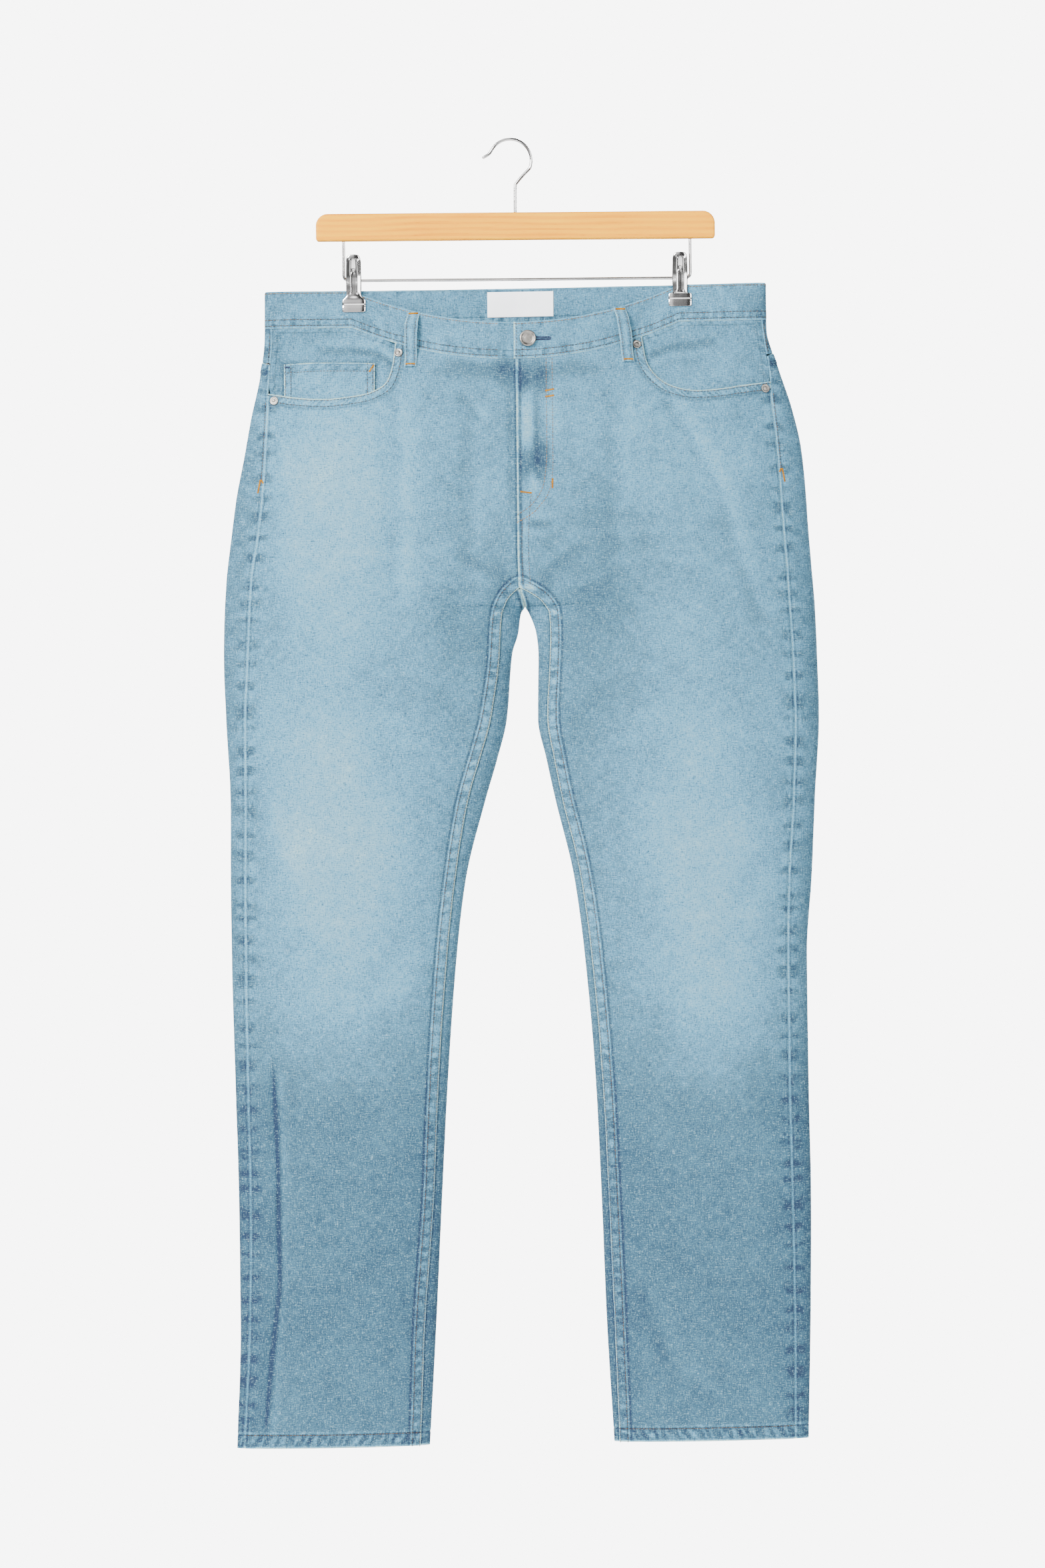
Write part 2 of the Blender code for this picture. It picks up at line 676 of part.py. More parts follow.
# Where each belt loop crosses the top edge of the band and where it ends, as distances from the centre.
LOOPS = {
    "belt_loop_front_right": ("right", "front", 0.1010, 0.1048),
    "belt_loop_front_left": ("left", "front", 0.1037, 0.1120),
    "belt_loop_back_right": ("right", "back", 0.1280, 0.1280),
    "belt_loop_back_left": ("left", "back", 0.1280, 0.1280),
    "belt_loop_back_centre": ("left", "back", 0.0, 0.0),
}


def belt_loop(name, side, face, x_top, x_end):
    """A strip sewn down at both ends that stands off the waistband between them."""
    start = waist_top(face, x_top) + 0.0006
    length = WAISTBAND_HEIGHT + LOOP_BELOW_BAND
    rows = []
    for t in (0.0, 0.05, 0.12, 0.20, 0.35, 0.50, 0.62, 0.72, 0.80, 0.90, 1.0):
        drop = start + t * length
        middle = x_top + (x_end - x_top) * t
        rise = smooth_step((t - 0.04) / 0.16) * (1 - smooth_step((t - 0.64) / 0.17))
        out = WAISTBAND_PROUD + SEAM_GAP + LOOP_WALL + LOOP_STANDS_OFF * rise
        row = []
        for x in spread(middle - LOOP_WIDTH / 2, middle + LOOP_WIDTH / 2, 2):
            row.append(moved_out(side, face, across(side, SIDES[side] * x, drop), drop, out))
        rows.append(row)
    cloth(name, [rows], LOOP_WALL, DENIM_BLUE, (0, FACES[face], 0))


LABEL = {"top": 0.0035, "bottom": 0.0285, "near": -0.028, "far": 0.038}
LABEL_WALL = 0.0010
ZIP = {"top": 0.0755, "bottom": 0.190, "half_width": 0.014}
ZIP_WALL = 0.0010


def label():
    """The woven label inside the back of the waistband."""
    under = WAISTBAND_WALL - WAISTBAND_PROUD + SEAM_GAP
    lines = [(d, LABEL["near"], LABEL["far"]) for d in (LABEL["top"], LABEL["bottom"])]
    patch("label", "left", "back", lines, -under, LABEL_WALL, LABEL_WHITE, columns=5)


def zip_tape():
    """The closed zip behind the fly, as one strip."""
    half = ZIP["half_width"]
    lines = [(d, -half, half) for d in spread(ZIP["top"], ZIP["bottom"], 5)]
    patch("zip", "left", "front", lines, -UNDER_FRONT, ZIP_WALL, ZIP_TAPE, columns=4)


def turned(name, profile, mat, steps, at, facing):
    """A round piece turned from (radius, height) pairs, top to bottom, set at a point facing a direction."""
    mesh = bpy.data.meshes.new(name)
    mesh.from_pydata([(r, 0, z) for r, z in profile], [(i, i + 1) for i in range(len(profile) - 1)], [])
    piece = bpy.data.objects.new(name, mesh)
    PARTS.objects.link(piece)
    mesh.materials.append(mat)
    screw = piece.modifiers.new("turned", "SCREW")
    screw.steps = screw.render_steps = steps
    screw.use_merge_vertices = True
    screw.merge_threshold = 0.00005
    piece.location = at
    piece.rotation_mode = "QUATERNION"
    piece.rotation_quaternion = Vector((0, 0, 1)).rotation_difference(facing)
    return piece


BUTTON_PROFILE = (
    (0.0, 0.0030), (0.0030, 0.0030), (0.0036, 0.0025), (0.0060, 0.0025), (0.0068, 0.0033), (0.0078, 0.0031),
    (0.0083, 0.0022), (0.0080, 0.0013), (0.0045, 0.0010), (0.0045, 0.0), (0.0, 0.0),
)
RIVET_PROFILE = ((0.0, 0.0017), (0.0016, 0.0016), (0.0022, 0.0011), (0.0038, 0.0009), (0.0043, 0.0), (0.0, 0.0))
SEAT = 0.0004
BUTTON_AT = (0.012, 0.053)
# Each rivet's distance from the centre line and its drop.
RIVETS = {
    "rivet_right_inner": ("right", 0.1166, 0.0640),
    "rivet_right_outer": ("right", 0.2405, 0.1095),
    "rivet_left_inner": ("left", 0.1205, 0.0600),
    "rivet_left_outer": ("left", 0.2480, 0.1060),
}


def metal_fittings():
    """The button on the waistband and the rivets at the corners of the pocket mouths."""
    x, drop = BUTTON_AT
    q = across("left", x, drop)
    at = moved_out("left", "front", q, drop, WAISTBAND_PROUD + SEAT)
    turned("button", BUTTON_PROFILE, STEEL, 18, at, normal("left", "front", q, drop))
    for name, (side, x, drop) in RIVETS.items():
        q = across(side, SIDES[side] * x, drop)
        at = moved_out(side, "front", q, drop, SEAT)
        turned(name, RIVET_PROFILE, STEEL, 12, at, normal(side, "front", q, drop))


# Sizes of the hanger.
BAR = {"length": 0.398, "height": 0.027, "thickness": 0.013, "top": -0.072, "top_radius": 0.012, "foot_radius": 0.003}
BAR_X = 0.0047
WIRE_RADIUS = 0.0015
HOOK_RADIUS = 0.021
HOOK_ARC = (-24, 148)
HOOK_TIP = (-0.0265, -0.0165)
# The bends between the stem and the crown.
HOOK_TURN = ((0.0050, -0.0450), (0.0065, -0.0420), (0.0120, -0.0355))
RAIL_WIRE_Z = -0.1385
RAIL_WIRE_ENDS = (-0.1669, 0.1789)
RAIL_BEND = 0.005
CLIP_X = (-0.1570, 0.1685)


def arc(centre, radius, start, end, count):
    """Points along an arc in the X and Z plane, from one angle to another in degrees."""
    angles = [math.radians(a) for a in spread(start, end, count)]
    return [(centre[0] + radius * math.cos(a), centre[1] + radius * math.sin(a)) for a in angles]


def flat_curve(name, outline, half_depth, mat):
    """A closed outline in the X and Z plane, thickened to both sides of it."""
    curve = bpy.data.curves.new(name, "CURVE")
    curve.dimensions = "2D"
    curve.fill_mode = "BOTH"
    curve.extrude = half_depth
    spline = curve.splines.new("POLY")
    spline.points.add(len(outline) - 1)
    for point, (x, z) in zip(spline.points, outline):
        point.co = (x, z, 0.0, 1.0)
    spline.use_cyclic_u = True
    curve.materials.append(mat)
    piece = bpy.data.objects.new(name, curve)
    PARTS.objects.link(piece)
    piece.rotation_euler = (math.pi / 2, 0.0, 0.0)
    return piece


def bar():
    """The wooden bar, with well rounded upper corners and eased edges."""
    left, right = BAR_X - BAR["length"] / 2, BAR_X + BAR["length"] / 2
    top, foot = BAR["top"], BAR["top"] - BAR["height"]
    big, small = BAR["top_radius"], BAR["foot_radius"]
    outline = arc((right - big, top - big), big, 0, 90, 5) + arc((left + big, top - big), big, 90, 180, 5)
    outline += arc((left + small, foot + small), small, 180, 270, 2)
    outline += arc((right - small, foot + small), small, 270, 360, 2)
    piece = flat_curve("hanger_bar", outline, BAR["thickness"] / 2, BEECH)
    weld = piece.modifiers.new("weld", "WELD")
    weld.merge_threshold = 0.00005
    eased = piece.modifiers.new("eased", "BEVEL")
    eased.width = 0.0022
    eased.segments = 2
    eased.limit_method = "ANGLE"
    eased.angle_limit = math.radians(60)


def wire(name, points):
    """A steel wire along points in the X and Z plane."""
    curve = bpy.data.curves.new(name, "CURVE")
    curve.dimensions = "3D"
    curve.bevel_depth = WIRE_RADIUS
    curve.bevel_resolution = 2
    curve.use_fill_caps = True
    spline = curve.splines.new("POLY")
    spline.points.add(len(points) - 1)
    for point, (x, z) in zip(spline.points, points):
        point.co = (x, 0.0, z, 1.0)
    curve.materials.append(STEEL)
    PARTS.objects.link(bpy.data.objects.new(name, curve))


def hook():
    """The hook: a stem out of the bar, a turn aside, the crown and a flared tip."""
    foot = BAR["top"] + SEAM_GAP
    centre = (0.0, WIRE_RADIUS - HOOK_RADIUS)
    points = [(BAR_X, foot), (BAR_X, (foot + HOOK_TURN[0][1]) / 2), *HOOK_TURN]
    points += arc(centre, HOOK_RADIUS, *HOOK_ARC, 14)
    end, tip = Vector(points[-1]), Vector(HOOK_TIP)
    points += [tuple(end.lerp(tip, 0.5) + Vector((0.0009, -0.0009))), HOOK_TIP]
    wire("hanger_hook", points)


def trouser_wire():
    """The wire below the bar that the clips ride on: a wide U with its ends let into the bar."""
    left, right = RAIL_WIRE_ENDS
    top, low, bend = BAR["top"] - BAR["height"] - SEAM_GAP, RAIL_WIRE_Z, RAIL_BEND
    points = [(left, top)] + arc((left + bend, low + bend), bend, 180, 270, 4)
    points += [(left + (right - left) * t, low) for t in (0.25, 0.5, 0.75)]
    points += arc((right - bend, low + bend), bend, 270, 360, 4) + [(right, top)]
    wire("trouser_wire", points)


CLIP_PLATE = 0.0012
# A clip's plate from its handle down to its shoe, in millimetres: height over the wire, half width, inner face.
CLIP_LINES = (
    (25.0, 3.0, 8.4), (24.0, 5.4, 8.4), (21.5, 6.9, 8.2), (12.0, 7.3, 6.4), (4.5, 7.5, 4.9), (-4.5, 7.5, 4.5),
    (-14.0, 7.4, 3.85), (-16.0, 8.2, 3.65), (-17.5, 11.4, 3.6), (-29.0, 11.6, 3.6), (-30.0, 10.8, 3.6),
)
BARREL = {"outer": 0.0042, "inner": 0.0018, "half_length": 0.0046}


def clip_plate(name, x, sign):
    """One pressed plate of a clip: a domed handle, a waist at the wire and a wide shoe on the cloth."""
    rows = []
    lean = WAIST_LEAN * (x - GARMENT_X)
    for above, half, inner in CLIP_LINES:
        outer = inner / 1000 + CLIP_PLATE
        rows.append([Vector((x + half / 1000 * c, sign * outer, RAIL_WIRE_Z + above / 1000)) for c in (-1, -0.5, 0.5, 1)])
    for row in rows[-3:]:
        for point in row:
            point.z += lean
    cloth(name, [rows], CLIP_PLATE, STEEL, (0, sign, 0))


def clips():
    """Two clips: each has two plates, with a spring round the wire between them."""
    for which, x in zip(("right", "left"), CLIP_X):
        clip_plate("clip_front_" + which, x, -1)
        clip_plate("clip_back_" + which, x, 1)
        half, outer, inner = BARREL["half_length"], BARREL["outer"], BARREL["inner"]
        ring = ((inner, half), (outer, half), (outer, -half), (inner, -half), (inner, half))
        turned("clip_spring_" + which, ring, STEEL, 16, (x, 0.0, RAIL_WIRE_Z), Vector((1, 0, 0)))


for side in SIDES:
    front_panel(side)
    back_panel(side)
    yoke(side)
    pocket_facing(side)
    back_pocket(side)
waistband()
coin_pocket()
for loop_name, loop_place in LOOPS.items():
    belt_loop(loop_name, *loop_place)
label()
zip_tape()
metal_fittings()
bar()
hook()
trouser_wire()
clips()
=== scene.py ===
"""Slim five-pocket jeans clipped to a wooden trouser hanger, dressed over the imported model.

Metres, +Z up, the front of the jeans faces -Y. A point of the cloth is named by its side (-1 the wearer's
right, 1 the left), its face (-1 front, 1 back), its share across that half, and its drop below the waist.
"""

import math

import bpy
import numpy as np
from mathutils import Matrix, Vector
from mathutils.bvhtree import BVHTree


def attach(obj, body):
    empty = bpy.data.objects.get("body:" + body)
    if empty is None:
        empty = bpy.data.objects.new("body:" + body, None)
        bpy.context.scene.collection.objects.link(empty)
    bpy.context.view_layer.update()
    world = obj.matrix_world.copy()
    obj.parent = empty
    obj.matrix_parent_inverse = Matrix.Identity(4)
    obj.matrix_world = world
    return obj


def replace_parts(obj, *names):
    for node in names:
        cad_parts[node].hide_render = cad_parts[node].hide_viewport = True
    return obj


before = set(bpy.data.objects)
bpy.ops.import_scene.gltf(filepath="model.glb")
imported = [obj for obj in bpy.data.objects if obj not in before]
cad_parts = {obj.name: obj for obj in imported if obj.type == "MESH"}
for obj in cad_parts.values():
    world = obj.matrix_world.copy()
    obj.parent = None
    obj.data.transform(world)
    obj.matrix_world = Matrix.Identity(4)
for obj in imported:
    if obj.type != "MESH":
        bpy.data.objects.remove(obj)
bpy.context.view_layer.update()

# The setting: a pale round of floor well below the hem, a white room all round that the camera sees as plain
# paper white, soft light from large panels, and the camera straight in front of the middle of the picture.
FLOOR_Z = -1.80
FLOOR_RADIUS = 2.30
PAPER_WHITE = 7.4

bpy.ops.object.select_all(action="DESELECT")
bpy.ops.mesh.primitive_circle_add(vertices=96, radius=FLOOR_RADIUS, fill_type="NGON")
floor = bpy.context.object
floor.name = "floor"
for vertex in floor.data.vertices:
    vertex.co.z = FLOOR_Z
paper = bpy.data.materials.new("floor_paper")
paper.use_nodes = True
paper_shader = paper.node_tree.nodes["Principled BSDF"]
paper_shader.inputs["Base Color"].default_value = (0.90, 0.905, 0.905, 1.0)
paper_shader.inputs["Roughness"].default_value = 1.0
paper_shader.inputs["Specular IOR Level"].default_value = 0.0
paper_shader.inputs["Emission Color"].default_value = (1.0, 1.0, 1.0, 1.0)
paper_shader.inputs["Emission Strength"].default_value = 0.6
floor.data.materials.append(paper)

surround = bpy.data.worlds.new("studio")
surround.use_nodes = True
sky = surround.node_tree
room = sky.nodes["Background"]
room.inputs["Strength"].default_value = 2.2
towards = sky.nodes.new("ShaderNodeTexCoord")
up_down = sky.nodes.new("ShaderNodeSeparateXYZ")
walls = sky.nodes.new("ShaderNodeValToRGB")
walls.color_ramp.elements[0].color = (0.45, 0.45, 0.46, 1.0)
walls.color_ramp.elements[1].color = (1.0, 1.0, 1.0, 1.0)
for height, grey in ((0.30, 0.60), (0.42, 0.14), (0.50, 0.50), (0.56, 1.0)):
    walls.color_ramp.elements.new(height).color = (grey, grey, grey * 1.01, 1.0)
# A bright strip and a dark doorway beside it, behind the camera, are what the polished metal mirrors.
strips = sky.nodes.new("ShaderNodeValToRGB")
strips.color_ramp.elements[0].color = (0.34, 0.34, 0.34, 1.0)
strips.color_ramp.elements[1].color = (0.34, 0.34, 0.34, 1.0)
for aside, grey in ((0.27, 0.34), (0.31, 1.0), (0.494, 1.0), (0.504, 0.02), (0.72, 0.02), (0.76, 0.34)):
    strips.color_ramp.elements.new(aside).color = (grey, grey, grey, 1.0)
shifted = sky.nodes.new("ShaderNodeMapRange")
shifted.inputs["From Min"].default_value = -1.0
mirrored = sky.nodes.new("ShaderNodeMix")
mirrored.data_type = "RGBA"
mirrored.blend_type = "MULTIPLY"
mirrored.inputs[0].default_value = 1.0
lifted = sky.nodes.new("ShaderNodeMapRange")
lifted.inputs["From Min"].default_value = -1.0
sky.links.new(towards.outputs["Generated"], up_down.inputs[0])
sky.links.new(up_down.outputs["Z"], lifted.inputs["Value"])
sky.links.new(lifted.outputs[0], walls.inputs["Fac"])
sky.links.new(up_down.outputs["X"], shifted.inputs["Value"])
sky.links.new(shifted.outputs[0], strips.inputs["Fac"])
sky.links.new(walls.outputs["Color"], mirrored.inputs[6])
sky.links.new(strips.outputs["Color"], mirrored.inputs[7])
sky.links.new(mirrored.outputs[2], room.inputs["Color"])
seen = sky.nodes.new("ShaderNodeBackground")
seen.inputs["Color"].default_value = (1.0, 1.0, 1.0, 1.0)
seen.inputs["Strength"].default_value = PAPER_WHITE
ray = sky.nodes.new("ShaderNodeLightPath")
choice = sky.nodes.new("ShaderNodeMixShader")
sky.links.new(ray.outputs["Is Camera Ray"], choice.inputs[0])
sky.links.new(room.outputs[0], choice.inputs[1])
sky.links.new(seen.outputs[0], choice.inputs[2])
sky.links.new(choice.outputs[0], sky.nodes["World Output"].inputs["Surface"])
bpy.context.scene.world = surround

# Each light's place, the width and height of its panel, its strength in watts, and where it looks.
LIGHTS = {
    "key_light": ((-2.3, -2.9, 1.3), (1.5, 1.8), 500, (0.0, 0.0, -0.55)),
    "fill_light": ((2.4, -3.3, 0.3), (1.6, 2.2), 150, (0.0, 0.0, -0.75)),
    "low_light": ((0.0, -3.6, -1.4), (2.4, 0.8), 30, (0.0, 0.0, -0.9)),
    "back_key_light": ((2.3, 2.9, 1.2), (1.5, 1.8), 300, (0.0, 0.0, -0.55)),
    "back_fill_light": ((-2.4, 3.2, 0.0), (1.6, 2.2), 140, (0.0, 0.0, -0.75)),
}
for light_name, (place_of_light, panel, watts, target) in LIGHTS.items():
    lamp = bpy.data.lights.new(light_name, "AREA")
    lamp.shape = "RECTANGLE"
    lamp.size, lamp.size_y = panel
    lamp.energy = watts
    light = bpy.data.objects.new(light_name, lamp)
    light.location = place_of_light
    light.rotation_euler = (Vector(target) - Vector(place_of_light)).to_track_quat("-Z", "Y").to_euler()
    bpy.context.scene.collection.objects.link(light)

lens = bpy.data.cameras.new("camera")
lens.sensor_fit = "VERTICAL"
lens.sensor_height = 24.0
lens.lens = 76.7
camera = bpy.data.objects.new("camera", lens)
camera.location = (0.0070, -5.0, -0.642)
camera.rotation_euler = (math.radians(90), math.radians(0.5), 0.0)
bpy.context.scene.collection.objects.link(camera)
bpy.context.scene.camera = camera

# The fronts: two panels of pale washed twill that hang from the waistband to the hem. Each is cut away at
# the top for the pocket's mouth, is felled to the back along the inseam, and is sewn plain at the side.
FRONT = -1
BACK = 1
RIGHT = -1
LEFT = 1
SIDE_NAMES = {RIGHT: "right", LEFT: "left"}
WAIST_Z = -0.147
WAIST_LEAN = 0.010
GARMENT_X = 0.004
WAISTBAND_HEIGHT = 0.037
WAIST_DIP = 0.036
CLIP_REACH = 0.163
FRONT_FORK = 0.300
CROTCH = 0.318
CROTCH_ROUND_START = 0.258
HEM = 1.152
HEM_FOLD = 0.014
REGULAR_FROM = 0.172
DENIM_WALL = 0.0013
HEM_WALL = 0.0021

# Section lines of both legs, in millimetres: distances out from the centre line at each drop.
SIDE_COLUMNS = ("drop", "outer_right", "outseam_right", "outseam_left", "outer_left", "front", "back")
SIDE_LINES = (
    (0, 250, 244, 243, 250, 28, 24),
    (45, 250.5, 243, 246, 250.5, 30, 26),
    (85, 255.5, 246, 252, 262, 32, 30),
    (125, 264.5, 248, 255.5, 275, 35, 36),
    (165, 272, 250.5, 259.5, 284, 37, 43),
    (205, 280, 253.5, 262.5, 288, 38, 49),
    (245, 285.5, 258.5, 265, 290.5, 38, 51),
    (285, 290.5, 265, 268, 293.5, 37, 49),
    (325, 293, 267.5, 270.5, 296.5, 36, 45),
    (365, 294, 269.5, 273, 298, 34, 41),
    (430, 292, 272.5, 275, 299.5, 32, 37),
    (510, 288.5, 273, 273, 295, 29, 33),
    (590, 289, 274, 268, 291, 27, 30),
    (670, 288.5, 274, 266, 285.5, 25, 28),
    (790, 286, 273, 266.5, 286, 23, 25),
    (910, 283.5, 271.5, 268.5, 287.5, 21, 23),
    (1030, 283, 273.5, 270, 286, 19, 21),
    (1152, 287.5, 280, 269.5, 283, 17, 18),
)
INNER_COLUMNS = ("drop", "inseam_right", "inner_right", "inner_left", "inseam_left")
INNER_LINES = (
    (300, -2, -2, 2, 2),
    (306, 5, -4, 4, 13),
    (312, 10, -5.5, 5.5, 22),
    (318, 13, -7, 7, 27),
    (325, 15.5, -3, 11, 31),
    (345, 17.5, 0, 18, 32),
    (365, 18.5, 6, 20, 31.5),
    (430, 28, 12, 19, 28.5),
    (470, 39.5, 22, 27, 34.5),
    (510, 51, 34, 35.5, 42.5),
    (590, 65, 54.5, 54, 60.5),
    (670, 74, 64.5, 64, 70.5),
    (790, 83, 74, 73.5, 80),
    (910, 89, 81, 78.5, 85.5),
    (1030, 98.5, 87.5, 82.5, 90),
    (1152, 104, 95, 89, 94),
)
CENTRE_COLUMNS = ("drop", "centre")
CENTRE_LINE = ((0, 0), (260, 0), (300, 2), (312, 5.5), (318, 7))

# Soft folds of the hanging cloth, in millimetres: the face, x and drop where each starts, x and drop where
# it ends, half its width, and its depth.
FOLDS = (
    (FRONT, -249, 750, -241, 930, 8, 2.6),
    (FRONT, -241, 900, -258, 1140, 8, 2.6),
    (FRONT, -123, 140, -135, 470, 17, 2.2),
    (FRONT, -58, 190, -62, 520, 17, 2.6),
    (FRONT, 148, 122, 190, 225, 16, 2.6),
    (FRONT, 183, 205, 226, 350, 17, 2.6),
    (FRONT, -28, 150, -62, 96, 9, 1.6),
    (FRONT, 40, 260, 128, 205, 15, 2.0),
    (FRONT, -30, 268, -118, 225, 15, 2.0),
    (FRONT, 118, 300, 60, 470, 18, 2.2),
    (FRONT, -152, 6, -106, 50, 9, 2.2),
    (FRONT, 154, 12, 118, 52, 9, 2.0),
    (FRONT, -205, 60, -128, 72, 9, 1.8),
    (FRONT, 205, 62, 140, 70, 10, 1.6),
    (FRONT, 120, 1010, 205, 1090, 16, 1.8),
    (BACK, -40, 325, -190, 362, 17, 3.0),
    (BACK, 40, 325, 185, 358, 17, 3.0),
    (BACK, -60, 372, -215, 415, 17, 2.4),
    (BACK, 70, 380, 222, 425, 17, 2.4),
    (BACK, -235, 560, -110, 610, 18, 2.4),
    (BACK, 105, 585, 225, 560, 18, 2.4),
    (BACK, -150, 700, -165, 1040, 17, 2.2),
    (BACK, 190, 690, 175, 1000, 17, 2.2),
)
# The one hard crease, down the shin on the wearer's right, as (drop, x) in millimetres.
SHIN_CREASE = ((740, -249.5), (769, -248), (875, -243.8), (990, -243.4), (1067, -252.7), (1140, -259))
# Sharper creases, in the same measures. Each is a trough with a low ridge thrown up on one side.
CREASES = (
    (FRONT, -248, 769, -243.8, 879, 4, 1.7),
    (FRONT, -243.8, 872, -243.4, 995, 3.4, 2.0),
    (FRONT, -243.4, 985, -252.7, 1072, 3.6, 1.8),
    (FRONT, -252.7, 1062, -259, 1140, 4.5, 1.4),
    (FRONT, -57.5, 106, -26.5, 144, 3.6, 0.8),
    (FRONT, -44, 98, -20, 118, 3.0, 0.4),
    (FRONT, -147.6, 22, -117, 49, 4.0, 1.3),
    (FRONT, -158, 28, -132, 44, 4.0, 0.7),
    (FRONT, 156, 24, 128, 46, 4.0, 1.0),
    (FRONT, 172, 26, 150, 40, 4.5, 0.6),
    (FRONT, -196, 60, -161, 58.5, 4.2, 0.9),
    (FRONT, -163, 58.5, -137, 63, 3.8, 1.5),
    (FRONT, -139, 62, -122, 74, 3.6, 1.6),
    (FRONT, 200, 58, 158, 62, 4.6, 0.9),
    (FRONT, 162, 60, 130, 72, 4.0, 1.1),
    (FRONT, -84, 70, -4, 84, 5.0, 0.7),
    (FRONT, 146, 112, 168, 152, 7, 0.9),
    (FRONT, 168, 150, 192, 192, 7, 1.0),
    (FRONT, 192, 188, 204, 236, 7, 1.0),
    (FRONT, 204, 232, 218, 276, 8, 0.9),
    (FRONT, 216, 272, 240, 342, 8, 0.8),
    (FRONT, -122, 88, -124, 330, 9, 0.8),
    (FRONT, -49, 100, -52, 300, 9, 0.7),
    (FRONT, 96, 100, 88, 300, 10, 0.6),
    (FRONT, -14, 292, -64, 262, 6, 0.9),
    (FRONT, 20, 292, 74, 252, 6, 0.9),
    (FRONT, 30, 316, 92, 300, 7, 0.7),
    (FRONT, 110, 992, 150, 1096, 8, 0.8),
    (FRONT, 150, 1080, 190, 1120, 8, 0.6),
    (FRONT, -108, 640, -160, 700, 12, 0.7),
    (FRONT, 250, 560, 200, 640, 12, 0.6),
    (FRONT, -270, 500, -230, 610, 12, 0.7),
    (BACK, -38, 332, -120, 352, 7, 1.4),
    (BACK, 42, 332, 118, 356, 7, 1.3),
    (BACK, -50, 356, -140, 392, 8, 1.1),
    (BACK, 60, 362, 150, 398, 8, 1.2),
    (BACK, -100, 318, -200, 330, 9, 0.9),
    (BACK, 96, 320, 196, 326, 9, 0.8),
    (BACK, -30, 310, -60, 420, 7, 0.9),
    (BACK, 36, 312, 66, 430, 7, 0.9),
    (BACK, -232, 566, -128, 600, 9, 0.9),
    (BACK, -226, 612, -120, 640, 9, 0.8),
    (BACK, 108, 598, 214, 572, 9, 0.9),
    (BACK, 112, 640, 218, 618, 9, 0.7),
    (BACK, -128, 720, -140, 900, 9, 0.8),
    (BACK, -214, 820, -220, 1080, 8, 0.9),
    (BACK, 208, 780, 216, 1040, 8, 0.9),
    (BACK, 132, 700, 128, 920, 10, 0.7),
    (BACK, -96, 60, -40, 92, 6, 0.6),
    (BACK, 90, 62, 44, 96, 6, 0.6),
)


def smooth_step(t):
    """0 below 0, 1 above 1, and an S between."""
    t = np.clip(t, 0.0, 1.0)
    return t * t * (3 - 2 * t)


def hump(value, centre, width):
    """1 at a value, falling away over a width on both sides."""
    return np.exp(-(((value - centre) / width) ** 2))


def curve_of(rows, columns, name):
    """One column of a table as a smooth function of the drop that never overshoots, in metres."""
    xs = np.array([row[0] for row in rows]) / 1000
    ys = np.array([row[columns.index(name)] for row in rows]) / 1000
    steps = np.diff(ys) / np.diff(xs)
    agree = steps[:-1] * steps[1:] > 0
    total = np.where(agree, steps[:-1] + steps[1:], 1.0)
    slopes = np.concatenate([steps[:1], np.where(agree, 2 * steps[:-1] * steps[1:] / total, 0.0), steps[-1:]])

    def value(drop):
        drop = np.clip(drop, xs[0], xs[-1])
        i = np.clip(np.searchsorted(xs, drop, side="right") - 1, 0, len(xs) - 2)
        width = xs[i + 1] - xs[i]
        t = (drop - xs[i]) / width
        start = ys[i] * (1 + 2 * t) + slopes[i] * width * t
        end = ys[i + 1] * (3 - 2 * t) + slopes[i + 1] * width * (t - 1)
        return start * (1 - t) ** 2 + end * t * t

    return value


LINES = {name: curve_of(SIDE_LINES, SIDE_COLUMNS, name) for name in SIDE_COLUMNS[1:]}
LINES.update({name: curve_of(INNER_LINES, INNER_COLUMNS, name) for name in INNER_COLUMNS[1:]})
LINES["centre"] = curve_of(CENTRE_LINE, CENTRE_COLUMNS, "centre")


def leg_line(name, side, drop):
    """The x of a line that both legs have, on the asked side."""
    return side * np.where(np.asarray(side) < 0, LINES[name + "_right"](drop), LINES[name + "_left"](drop))


def inner_x(side, drop):
    """Where a half ends towards the middle: the centre line, and the leg's inner fold below the crotch."""
    return np.where(np.asarray(drop) <= CROTCH, LINES["centre"](drop), leg_line("inner", side, drop))


def outer_x(side, drop):
    """The outer fold of a half."""
    return leg_line("outer", side, drop)


def across(side, x, drop):
    """How far across its half an x lies, from 0 at the inner end to 1 at the outer fold."""
    inner = inner_x(side, drop)
    return (x - inner) / (outer_x(side, drop) - inner)


def x_at(side, q, drop):
    """The x at a share across a half."""
    inner = inner_x(side, drop)
    return inner + q * (outer_x(side, drop) - inner)


def outseam(side, drop):
    """The side seam's share across the half."""
    return across(side, leg_line("outseam", side, drop), drop)


def inseam(side, drop):
    """The inseam's share on the front face. Above the fork the centre seam takes its place."""
    drop = np.asarray(drop, dtype=float)
    return np.where(drop <= FRONT_FORK, 0.0, across(side, leg_line("inseam", side, drop), drop))


def rounded(distance, reach):
    """How the cloth rounds away from a fold: 0 on it, 1 from `reach` on, along a quarter of an ellipse."""
    t = 1 - np.clip(distance / reach, 0.0, 1.0)
    return np.sqrt(1 - t * t)


